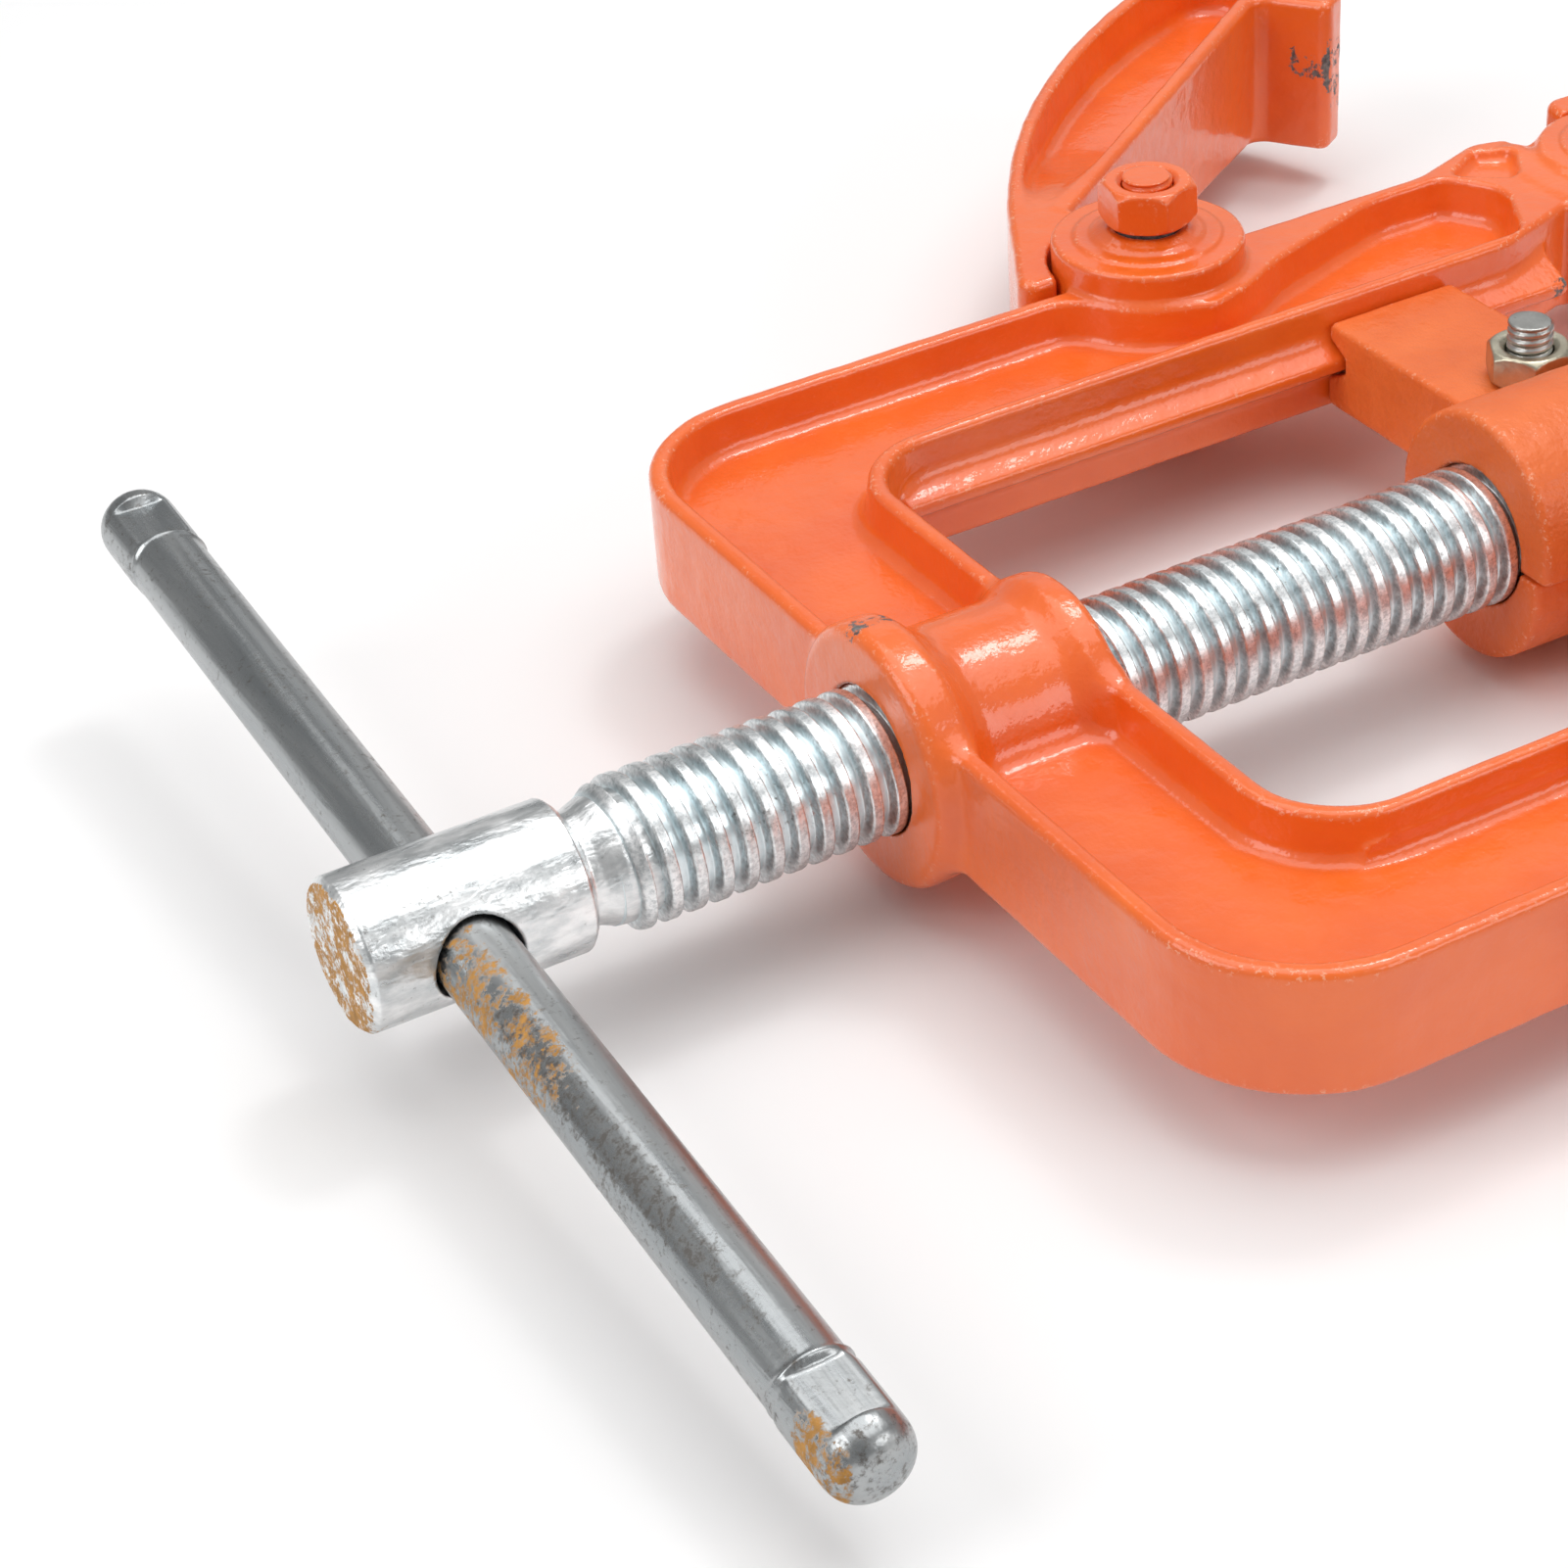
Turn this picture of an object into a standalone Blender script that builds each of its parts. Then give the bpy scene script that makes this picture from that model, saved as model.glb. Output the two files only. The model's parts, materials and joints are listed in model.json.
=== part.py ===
"""Screw-driven wheel-rim clamp: a ribbed U-frame whose lead screw drives a guided slider, with four
swinging hooks that catch the rim.

X runs along the screw, away from its handle, from the front face of the crossbar. Y runs to the left
rail and Z runs up from the screw's axis. Every piece hangs on one empty that puts the origin under the
middle of the object.
"""
import math

import bmesh
import bpy
from mathutils import Matrix, Vector

MM = 0.001

# Frame casting
FRAME_WIDTH = 225 * MM
FRAME_HEIGHT = 25 * MM
RAIL_WIDTH = 37.5 * MM
CROSSBAR_DEPTH = 38.5 * MM
OUTER_CORNER = 30 * MM
INNER_CORNER = 16.5 * MM
RIM_WIDTH = 4 * MM
RECESS_DRAFT = 1.4 * MM
FRAME_WEB = 6.6 * MM

# Guide tongues on the inner faces of the rails
TONGUE_REACH = 5.5 * MM
TONGUE_ROOT = 8.2 * MM
TONGUE_LAND = 2.6 * MM
TONGUE_END_X = 212 * MM

# Pivots of the hooks and the ears that carry them
NEAR_PIVOT_X = 133 * MM
NEAR_PIVOT_OUTSET = 0.5 * MM
FAR_PIVOT_X = 250 * MM
FAR_PIVOT_INSET = 17.5 * MM
EAR_RADIUS = 20 * MM
EAR_STEP = 2 * MM
NEAR_EAR_PROUD = 6.5 * MM
FAR_EAR_PROUD = 1.6 * MM
SEAT_RADIUS = 15.5 * MM
SEAT_STEP = 0.8 * MM
SEAT_CROWN_RADIUS = 11.6 * MM
SEAT_CROWN = 1.6 * MM
RAIL_END_BULGE = 4.5 * MM
RAIL_END_LENGTH = 38 * MM

# Screw boss on the crossbar
BOSS_RADIUS = 20 * MM
BOSS_FLANGE_RADIUS = 25 * MM
BOSS_FLANGE_DEPTH = 9 * MM
BOSS_FRONT_PROUD = 3.8 * MM
BOSS_LIP_RADIUS = 22.5 * MM
BOSS_LIP_DEPTH = 5 * MM
BOSS_EDGE = 1.5 * MM

# Lead screw with trapezoidal thread, and the bar through its head
THREAD_DIAMETER = 28 * MM
THREAD_PITCH = 5 * MM
THREAD_DEPTH = 2.75 * MM
THREAD_SEGMENTS = 12
HEAD_DIAMETER = 28.2 * MM
HEAD_LENGTH = 43 * MM
HEAD_END_X = -107.2 * MM
NECK_DIAMETER = 22.5 * MM
NECK_LENGTH = 11 * MM
GROOVE_DIAMETER = 20 * MM
GROOVE_LENGTH = 8 * MM
JOURNAL_LENGTH = 26 * MM
BAR_DIAMETER = 14.8 * MM
BAR_LENGTH = 290 * MM
BAR_END_LENGTH = 20 * MM
BAR_COLLAR_DIAMETER = 17.6 * MM
BAR_END_WIDTH = 15.2 * MM
BAR_OFFSET = 20 * MM
BAR_TILT = math.radians(4.1)

# Split slider that the screw pushes along the tongues
SLIDER_BACK_X = 131 * MM
SLIDER_LENGTH = 65 * MM
HOUSING_RADIUS = 22 * MM
HOUSING_TOP = 25.2 * MM
CAP_BOTTOM = -26 * MM
CAP_RADIUS = 19.5 * MM
SEAM_Z = -2 * MM
WING_BACK_X = 152 * MM
WING_LENGTH = 32 * MM
WING_TOP = 8 * MM
WING_BOTTOM = -11 * MM
CAP_EAR_THICKNESS = 8 * MM
SLIDER_BOLT_INSET = 18 * MM
SLIDER_BOLT_Y = 32 * MM
THRUST_WASHER = 3 * MM

# Hook casting, in its own plane: s runs along the leg from the pivot, n across it
HOOK_LEG = 128 * MM
HOOK_OFFSET = 23.3 * MM
HOOK_TOE = 18.8 * MM
HOOK_TOE_THICKNESS = 11 * MM
HOOK_CROWN_RADIUS = 195 * MM
HOOK_CROWN_AT = 92 * MM
HOOK_CROWN_RISE = 55.8 * MM
HOOK_CROWN_START = 4.5 * MM
HOOK_CROWN_END = 128.5 * MM
HOOK_HEEL_AT = -16 * MM
HOOK_SHOULDER_AT = 152 * MM
HOOK_SHOULDER_RADIUS = 20 * MM
HOOK_RIM = 4 * MM
HOOK_WEB = 13 * MM
HOOK_EYE = 14 * MM
HOOK_HEEL_HEIGHT = 29 * MM
HOOK_TOE_HEIGHT = 38 * MM
NEAR_HOOK_ANGLE = math.radians(34)
FAR_HOOK_ANGLE = math.radians(-30)

# Fasteners
PIVOT_SHOULDER = 14 * MM
PIVOT_THREAD = 11.8 * MM
PIVOT_NUT_FLATS = 18 * MM
PIVOT_NUT_HEIGHT = 8 * MM
PIVOT_NUT_TURN = math.radians(20)
PIVOT_HEAD_HEIGHT = 7.5 * MM
PIVOT_STAND_OFF = 2 * MM
PIVOT_BOLT_END = 1 * MM
SLIDER_THREAD = 9.8 * MM
SLIDER_NUT_FLATS = 17 * MM
SLIDER_NUT_HEIGHT = 8 * MM
SLIDER_HEAD_HEIGHT = 6.4 * MM
SLIDER_BOLT_END = 7 * MM

# Clearances
SEAT = 0.3 * MM
RUNNING = 0.3 * MM
SLIDING = 0.5 * MM
HOOK_SIDE = 0.4 * MM
EAR_CLEARANCE = 3 * MM
BAR_CLEARANCE = 0.7 * MM

# Values that follow from the sizes above
FRAME_HALF = FRAME_WIDTH / 2
WINDOW_HALF = FRAME_HALF - RAIL_WIDTH
NEAR_PIVOT_Y = FRAME_HALF + NEAR_PIVOT_OUTSET
FAR_PIVOT_Y = FRAME_HALF - FAR_PIVOT_INSET
SLOT_HALF = HOOK_EYE / 2 + HOOK_SIDE
NEAR_EAR_HEIGHT = FRAME_HEIGHT + 2 * NEAR_EAR_PROUD
FAR_EAR_HEIGHT = FRAME_HEIGHT + 2 * FAR_EAR_PROUD
SLIDER_FRONT_X = SLIDER_BACK_X + SLIDER_LENGTH
SLIDER_BOLT_X = WING_BACK_X + SLIDER_BOLT_INSET
WING_HALF = WINDOW_HALF - SLIDING
BORE_END_X = SLIDER_FRONT_X - 2.6 * THRUST_WASHER
SCREW_END_X = BORE_END_X - THRUST_WASHER - 2 * SEAT
GROOVE_X = SCREW_END_X - (JOURNAL_LENGTH + GROOVE_LENGTH) / 2
HEAD_FACE_X = HEAD_END_X + HEAD_LENGTH
THREAD_START_X = HEAD_FACE_X + NECK_LENGTH
BAR_X = HEAD_END_X + BAR_OFFSET
HOLE_SEGMENTS = 20
EAR_SEGMENTS = 24
ROUND_SEGMENTS = 28
PIN_SEGMENTS = 14
CROWN_STEPS = 10
ARC_STEP = math.radians(15)
ARC_ERROR = 0.15 * MM

ORANGE = (0.86, 0.19, 0.035)
ORANGE_DRY = (0.82, 0.20, 0.05)
ZINC = (0.66, 0.70, 0.72)
YELLOW_ZINC = (0.62, 0.56, 0.40)
BRONZE = (0.55, 0.38, 0.18)


def clear_scene():
    for item in list(bpy.data.objects):
        bpy.data.objects.remove(item, do_unlink=True)


def make_material(name, colour, roughness, metallic):
    material = bpy.data.materials.new(name)
    material.use_nodes = True
    shader = material.node_tree.nodes["Principled BSDF"]
    shader.inputs["Base Color"].default_value = (*colour, 1)
    shader.inputs["Roughness"].default_value = roughness
    shader.inputs["Metallic"].default_value = metallic
    return material


def to_object(name, mesh_builder):
    """Turn a bmesh into an object, with its faces pointing out."""
    bmesh.ops.recalc_face_normals(mesh_builder, faces=mesh_builder.faces)
    mesh = bpy.data.meshes.new(name)
    mesh_builder.to_mesh(mesh)
    mesh_builder.free()
    item = bpy.data.objects.new(name, mesh)
    bpy.context.scene.collection.objects.link(item)
    return item


def combine(target, tool, operation):
    """Join or cut one object with another, and drop the other."""
    modifier = target.modifiers.new(operation, "BOOLEAN")
    modifier.operation = operation
    modifier.object = tool
    modifier.solver = "EXACT"
    graph = bpy.context.evaluated_depsgraph_get()
    result = bpy.data.meshes.new_from_object(target.evaluated_get(graph))
    target.modifiers.clear()
    target.data = result
    bpy.data.objects.remove(tool, do_unlink=True)


def join(target, tool):
    combine(target, tool, "UNION")


def cut(target, tool):
    combine(target, tool, "DIFFERENCE")


def rounded_outline(corners):
    """Points of a closed outline from corners (x, y, radius), each rounded by an arc."""
    points = []
    count = len(corners)
    for index, (x, y, radius) in enumerate(corners):
        corner = Vector((x, y))
        before = (Vector(corners[index - 1][:2]) - corner).normalized()
        after = (Vector(corners[(index + 1) % count][:2]) - corner).normalized()
        if radius == 0:
            points.append(corner)
            continue
        half = before.angle(after) / 2
        centre = corner + (before + after).normalized() * radius / math.sin(half)
        first = corner + before * radius / math.tan(half) - centre
        last = corner + after * radius / math.tan(half) - centre
        turn = first.angle_signed(last)
        stride = min(ARC_STEP, 2 * math.sqrt(2 * ARC_ERROR / radius))
        steps = max(2, math.ceil(abs(turn) / stride))
        for step in range(steps + 1):
            points.append(centre + Matrix.Rotation(-turn * step / steps, 2) @ first)
    return points


def prism(name, outline, low, high):
    """A straight block on an outline in the XY plane."""
    builder = bmesh.new()
    base = [builder.verts.new((p[0], p[1], low)) for p in outline]
    face = builder.faces.new(base)
    grown = bmesh.ops.extrude_face_region(builder, geom=[face])
    moved = [v for v in grown["geom"] if isinstance(v, bmesh.types.BMVert)]
    bmesh.ops.translate(builder, verts=moved, vec=(0, 0, high - low))
    return to_object(name, builder)


def box(name, low, high):
    outline = [(low[0], low[1]), (high[0], low[1]), (high[0], high[1]), (low[0], high[1])]
    return prism(name, outline, low[2], high[2])


def regular_outline(radius, sides, centre=(0, 0), start=0.0):
    angles = [start + 2 * math.pi * k / sides for k in range(sides)]
    return [(centre[0] + radius * math.cos(a), centre[1] + radius * math.sin(a)) for a in angles]


def turned(name, profile, segments, axis="Z", centre=(0, 0, 0)):
    """A solid of revolution from (along, radius) points, about an axis through a centre."""
    builder = bmesh.new()
    rings = []
    for along, radius in profile:
        ring = []
        for px, py in regular_outline(radius, segments):
            spot = (px, py, along) if axis == "Z" else (along, px, py)
            ring.append(builder.verts.new(Vector(spot) + Vector(centre)))
        rings.append(ring)
    for lower, upper in zip(rings, rings[1:]):
        for k in range(segments):
            after = (k + 1) % segments
            builder.faces.new((lower[k], lower[after], upper[after], upper[k]))
    builder.faces.new(rings[0])
    builder.faces.new(rings[-1])
    return to_object(name, builder)


def inset_corners(corners, distance):
    """Corners of an outline moved inwards by one distance, with their arcs kept concentric."""
    moved = []
    count = len(corners)
    for index, (x, y, radius) in enumerate(corners):
        corner = Vector((x, y))
        along = (corner - Vector(corners[index - 1][:2])).normalized()
        onward = (Vector(corners[(index + 1) % count][:2]) - corner).normalized()
        turn = along.cross(onward)
        inward = Vector((-along.y, along.x)) + Vector((-onward.y, onward.x))
        spot = corner + inward * distance / (1 + along.dot(onward))
        if radius > 0:
            radius = max(radius - math.copysign(distance, turn), distance / 4)
        moved.append((spot.x, spot.y, radius))
    return moved


def loft(name, lower, upper, low, high):
    """A block between two outlines with the same number of points."""
    builder = bmesh.new()
    base = [builder.verts.new((p[0], p[1], low)) for p in lower]
    crown = [builder.verts.new((p[0], p[1], high)) for p in upper]
    count = len(base)
    for k in range(count):
        after = (k + 1) % count
        builder.faces.new((base[k], base[after], crown[after], crown[k]))
    builder.faces.new(base)
    builder.faces.new(crown)
    return to_object(name, builder)


def rimmed_plate(name, corners, recess, height, draft, web):
    """A casting with a raised rim round drafted recesses in both faces of its web."""
    plate = prism(name, rounded_outline(corners), -height / 2, height / 2)
    depth = (height - web) / 2
    wide = rounded_outline(inset_corners(recess, -draft))
    narrow = rounded_outline(inset_corners(recess, draft))
    for side in (1, -1):
        floor = side * web / 2
        cut(plate, loft("recess", narrow, wide, floor, floor + side * 2 * depth))
    return plate


def mirrored(name, source):
    """A copy of an object's mesh, mirrored across the screw's upright plane."""
    mesh = source.data.copy()
    mesh.transform(Matrix.Scale(-1, 4, (0, 1, 0)))
    mesh.flip_normals()
    item = bpy.data.objects.new(name, mesh)
    bpy.context.scene.collection.objects.link(item)
    return item


def place(item, spot, angle=0.0, axis="Z"):
    item.location = spot
    item.rotation_euler = Matrix.Rotation(angle, 3, axis).to_euler()
    bpy.context.view_layer.update()


def bake_place(item):
    """Write an object's place into its mesh, so that it can be joined or cut."""
    item.data.transform(item.matrix_basis)
    item.matrix_basis = Matrix.Identity(4)


def frame_corners():
    """The U of the casting, open at its far end, with rails that swell at the pivots."""
    end = FAR_PIVOT_X - EAR_RADIUS
    swell = end - RAIL_END_LENGTH / 2
    bulged = FRAME_HALF + RAIL_END_BULGE
    left = [
        (CROSSBAR_DEPTH, WINDOW_HALF, INNER_CORNER),
        (end, WINDOW_HALF, 0),
        (end, bulged, RAIL_END_BULGE),
        (swell + RAIL_END_BULGE, bulged, 2 * RAIL_END_BULGE),
        (swell - RAIL_END_BULGE, FRAME_HALF, 2 * RAIL_END_BULGE),
        (0, FRAME_HALF, OUTER_CORNER),
    ]
    return on_both_sides(left)


def frame_recess():
    """The recess inside the rim, which stops short of the far ears."""
    end = FAR_PIVOT_X - EAR_RADIUS - RAIL_END_LENGTH / 2
    left = [
        (CROSSBAR_DEPTH, WINDOW_HALF, INNER_CORNER),
        (end, WINDOW_HALF, 2 * RIM_WIDTH),
        (end, FRAME_HALF, 2 * RIM_WIDTH),
        (0, FRAME_HALF, OUTER_CORNER),
    ]
    return inset_corners(on_both_sides(left), RIM_WIDTH)


def on_both_sides(left):
    """Corners of the left half, then the same corners mirrored to the right."""
    return left + [(x, -y, radius) for x, y, radius in reversed(left)]


def boss_profile():
    front = -BOSS_FRONT_PROUD
    step = BOSS_FLANGE_RADIUS - BOSS_RADIUS
    lip = BOSS_LIP_RADIUS - BOSS_RADIUS
    return [
        (front, BOSS_FLANGE_RADIUS - BOSS_EDGE),
        (front + BOSS_EDGE, BOSS_FLANGE_RADIUS),
        (front + BOSS_FLANGE_DEPTH - step / 2, BOSS_FLANGE_RADIUS),
        (front + BOSS_FLANGE_DEPTH + step / 2, BOSS_RADIUS),
        (CROSSBAR_DEPTH - BOSS_LIP_DEPTH - lip / 2, BOSS_RADIUS),
        (CROSSBAR_DEPTH - BOSS_LIP_DEPTH + lip / 2, BOSS_LIP_RADIUS),
        (CROSSBAR_DEPTH - BOSS_EDGE / 2, BOSS_LIP_RADIUS),
        (CROSSBAR_DEPTH, BOSS_LIP_RADIUS - BOSS_EDGE),
    ]


def ear_profile(height):
    """A round ear on a wider foot, with a seat that steps up to the nut and the bolt head."""
    top = height / 2
    upper = [
        (FRAME_HEIGHT / 2 - SEAT_STEP, EAR_RADIUS + EAR_STEP),
        (FRAME_HEIGHT / 2 + SEAT_STEP / 2, EAR_RADIUS),
        (top, EAR_RADIUS),
        (top, SEAT_RADIUS + SEAT_STEP / 2),
        (top + SEAT_STEP, SEAT_RADIUS - SEAT_STEP / 2),
        (top + SEAT_STEP, SEAT_CROWN_RADIUS),
        (top + SEAT_STEP + SEAT_CROWN, SEAT_CROWN_RADIUS - SEAT_CROWN),
    ]
    lower = [(-along, radius) for along, radius in reversed(upper)]
    return lower + upper


def tongue(side):
    """One guide tongue, a trapezoid ridge along a rail's inner face."""
    start = CROSSBAR_DEPTH + INNER_CORNER / 2
    root = WINDOW_HALF + RIM_WIDTH / 2
    section = [
        (root, TONGUE_ROOT / 2 + RIM_WIDTH / 2),
        (WINDOW_HALF, TONGUE_ROOT / 2),
        (WINDOW_HALF - TONGUE_REACH, TONGUE_LAND / 2),
        (WINDOW_HALF - TONGUE_REACH, -TONGUE_LAND / 2),
        (WINDOW_HALF, -TONGUE_ROOT / 2),
        (root, -TONGUE_ROOT / 2 - RIM_WIDTH / 2),
    ]
    ridge = prism("tongue", section, start, TONGUE_END_X)
    turn = Matrix(((0, 0, 1, 0), (1, 0, 0, 0), (0, 1, 0, 0), (0, 0, 0, 1)))
    ridge.data.transform(turn)
    if side < 0:
        ridge.data.transform(Matrix.Scale(-1, 4, (0, 1, 0)))
        ridge.data.flip_normals()
    return ridge


def hook_slots(casting, side):
    """Slots for the hooks' eyes, and the bores of their pivots."""
    near = (NEAR_PIVOT_X, side * NEAR_PIVOT_Y)
    reach = EAR_RADIUS + EAR_STEP + HOOK_SIDE
    pocket = regular_outline(reach, ROUND_SEGMENTS, near, math.pi / ROUND_SEGMENTS)
    cut(casting, prism("near_pocket", pocket, -SLOT_HALF, SLOT_HALF))
    mouth = sorted((near[1], near[1] + side * 2 * reach))
    low = (near[0] - 1.2 * reach, mouth[0], -SLOT_HALF)
    high = (near[0] + 1.2 * reach, mouth[1], SLOT_HALF)
    cut(casting, box("near_mouth", low, high))
    far_start = FAR_PIVOT_X - EAR_RADIUS - EAR_STEP - EAR_CLEARANCE
    across = sorted((side * (WINDOW_HALF - 2 * TONGUE_REACH), side * (FRAME_HALF + RAIL_WIDTH)))
    low = (far_start, across[0], -SLOT_HALF)
    high = (FAR_PIVOT_X + 2 * EAR_RADIUS, across[1], SLOT_HALF)
    cut(casting, box("far_slot", low, high))
    for x, y in (near, (FAR_PIVOT_X, side * FAR_PIVOT_Y)):
        bore = regular_outline(PIVOT_SHOULDER / 2 + RUNNING, HOLE_SEGMENTS, (x, y))
        cut(casting, prism("pivot_bore", bore, -NEAR_EAR_HEIGHT, NEAR_EAR_HEIGHT))


def far_neck(side):
    """The block that carries a rail's end out to its far ear."""
    start = FAR_PIVOT_X - EAR_RADIUS - 2 * RIM_WIDTH
    inner = FAR_PIVOT_Y - EAR_RADIUS + SEAT_STEP
    outer = FAR_PIVOT_Y + EAR_RADIUS - RIM_WIDTH
    half = FRAME_HEIGHT / 2 - SEAT_STEP
    low = (start, min(side * inner, side * outer), -half)
    high = (FAR_PIVOT_X, max(side * inner, side * outer), half)
    return box("far_neck", low, high)


def build_frame():
    casting = rimmed_plate(
        "frame", frame_corners(), frame_recess(), FRAME_HEIGHT, RECESS_DRAFT, FRAME_WEB)
    join(casting, turned("boss", boss_profile(), ROUND_SEGMENTS, "X"))
    for side in (1, -1):
        near = (NEAR_PIVOT_X, side * NEAR_PIVOT_Y, 0)
        join(casting, turned("near_ear", ear_profile(NEAR_EAR_HEIGHT), EAR_SEGMENTS, "Z", near))
        join(casting, far_neck(side))
        far = (FAR_PIVOT_X, side * FAR_PIVOT_Y, 0)
        join(casting, turned("far_ear", ear_profile(FAR_EAR_HEIGHT), EAR_SEGMENTS, "Z", far))
        join(casting, tongue(side))
        hook_slots(casting, side)
    bore = [(-2 * BOSS_FLANGE_DEPTH, THREAD_DIAMETER / 2 + RUNNING),
            (2 * CROSSBAR_DEPTH, THREAD_DIAMETER / 2 + RUNNING)]
    cut(casting, turned("screw_bore", bore, ROUND_SEGMENTS, "X"))
    return casting


def thread_body():
    """One unbroken helical ridge from the neck to the slider, closed at both ends."""
    crest = THREAD_DIAMETER / 2
    root = crest - THREAD_DEPTH
    flank = THREAD_DEPTH * math.tan(math.radians(15))
    land = THREAD_PITCH / 2 - flank
    profile = [(0, root), (flank, crest), (flank + land, crest), (2 * flank + land, root)]
    turns = math.floor((SLIDER_BACK_X - THREAD_START_X) / THREAD_PITCH)
    builder = bmesh.new()
    strips = []
    for step in range((turns + 1) * THREAD_SEGMENTS + 1):
        angle = 2 * math.pi * step / THREAD_SEGMENTS
        start = THREAD_START_X + THREAD_PITCH * (step / THREAD_SEGMENTS - 1)
        strip = []
        for along, radius in profile:
            spot = (start + along, radius * math.cos(angle), radius * math.sin(angle))
            strip.append(builder.verts.new(spot))
        strips.append(strip)
    last = turns * THREAD_SEGMENTS
    for step in range(last):
        here = strips[step] + [strips[step + THREAD_SEGMENTS][0]]
        there = strips[step + 1] + [strips[step + 1 + THREAD_SEGMENTS][0]]
        for k in range(len(profile)):
            builder.faces.new((here[k], there[k], there[k + 1], here[k + 1]))
    for first in (0, last):
        loop = [strips[first + k][0] for k in range(THREAD_SEGMENTS + 1)]
        loop += [strips[first][k] for k in range(len(profile) - 1, 0, -1)]
        hub = builder.verts.new((loop[0].co.x + THREAD_PITCH / 2, 0, 0))
        for k, corner in enumerate(loop):
            builder.faces.new((corner, loop[(k + 1) % len(loop)], hub))
    loose = [v for v in builder.verts if not v.link_faces]
    bmesh.ops.delete(builder, geom=loose, context="VERTS")
    return to_object("thread", builder)


def build_screw():
    head = HEAD_DIAMETER / 2
    neck = NECK_DIAMETER / 2
    root = THREAD_DIAMETER / 2 - THREAD_DEPTH
    core = root - THREAD_DEPTH / 4
    thread_end = SLIDER_BACK_X - THREAD_PITCH / 2
    journal = THREAD_DIAMETER / 2 - RUNNING
    groove = GROOVE_DIAMETER / 2
    profile = [
        (HEAD_END_X, head - BOSS_EDGE),
        (HEAD_END_X + BOSS_EDGE, head),
        (HEAD_FACE_X - BOSS_EDGE, head),
        (HEAD_FACE_X, head - BOSS_EDGE),
        (HEAD_FACE_X + NECK_LENGTH / 4, neck),
        (THREAD_START_X - NECK_LENGTH / 4, neck),
        (THREAD_START_X, core),
        (thread_end - THREAD_PITCH, core),
        (thread_end - THREAD_PITCH / 2, journal),
        (GROOVE_X, journal),
        (GROOVE_X, groove),
        (GROOVE_X + GROOVE_LENGTH, groove),
        (GROOVE_X + GROOVE_LENGTH, journal),
        (SCREW_END_X, journal),
    ]
    screw = turned("lead_screw", profile, ROUND_SEGMENTS, "X")
    join(screw, thread_body())
    reach = 2 * HEAD_DIAMETER
    radius = BAR_DIAMETER / 2 + BAR_CLEARANCE
    hole = turned("bar_hole", [(-reach, radius), (reach, radius)], HOLE_SEGMENTS, "Z")
    place(hole, (BAR_X, 0, 0), BAR_TILT - math.pi / 2, "X")
    bake_place(hole)
    cut(screw, hole)
    return screw


def bar_radius(along, angle):
    """Radius of the bar: round, a thin collar, then a squared and rounded end."""
    left = BAR_LENGTH / 2 - abs(along)
    round_radius = BAR_DIAMETER / 2
    if left > BAR_END_LENGTH:
        return round_radius
    square = BAR_END_WIDTH / 2 / (math.cos(angle) ** 6 + math.sin(angle) ** 6) ** (1 / 6)
    tip = BAR_END_WIDTH / 2
    if left >= tip:
        return square
    return square * math.sqrt(max(0.05, 1 - (1 - left / tip) ** 2))


def build_bar():
    """The sliding bar, lofted along Y through rings of changing section."""
    half = BAR_LENGTH / 2
    collar = half - BAR_END_LENGTH
    ridge = BAR_COLLAR_DIAMETER - BAR_DIAMETER
    tip = BAR_END_WIDTH / 2
    stations = [-collar + ridge, collar - ridge]
    ends = [collar, collar + ridge, half - tip, half - tip / 2, half - tip / 6, half]
    stations = [-along for along in reversed(ends)] + stations + ends
    builder = bmesh.new()
    rings = []
    for along in stations:
        ring = []
        for k in range(HOLE_SEGMENTS):
            angle = 2 * math.pi * k / HOLE_SEGMENTS
            radius = bar_radius(along, angle)
            if math.isclose(abs(along), collar):
                radius = BAR_COLLAR_DIAMETER / 2
            ring.append(builder.verts.new((radius * math.cos(angle), along, radius * math.sin(angle))))
        rings.append(ring)
    for lower, upper in zip(rings, rings[1:]):
        for k in range(HOLE_SEGMENTS):
            after = (k + 1) % HOLE_SEGMENTS
            builder.faces.new((lower[k], lower[after], upper[after], upper[k]))
    builder.faces.new(rings[0])
    builder.faces.new(rings[-1])
    bar = to_object("tommy_bar", builder)
    place(bar, (BAR_X, 0, 0), BAR_TILT, "X")
    return bar


def half_round(name, half_width, crown, seam, start, end):
    """A block with a round crown, running along X from a flat seam."""
    sign = 1 if crown > seam else -1
    centre = crown - sign * half_width
    outline = []
    steps = ROUND_SEGMENTS // 2
    for k in range(steps + 1):
        angle = math.pi * k / steps
        outline.append((half_width * math.cos(angle), centre + sign * half_width * math.sin(angle)))
    outline += [(-half_width, seam), (half_width, seam)]
    block = prism(name, outline, start, end)
    turn = Matrix(((0, 0, 1, 0), (1, 0, 0, 0), (0, 1, 0, 0), (0, 0, 0, 1)))
    block.data.transform(turn)
    return block


def screw_seat():
    """The stepped bore that traps the screw's grooved end and its thrust washer."""
    bore = THREAD_DIAMETER / 2 + RUNNING
    rib = GROOVE_DIAMETER / 2 + RUNNING
    profile = [
        (SLIDER_BACK_X - THREAD_PITCH, bore),
        (GROOVE_X + SEAT, bore),
        (GROOVE_X + SEAT, rib),
        (GROOVE_X + GROOVE_LENGTH - SEAT, rib),
        (GROOVE_X + GROOVE_LENGTH - SEAT, bore),
        (BORE_END_X, bore),
    ]
    return turned("screw_seat", profile, ROUND_SEGMENTS, "X")


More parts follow.
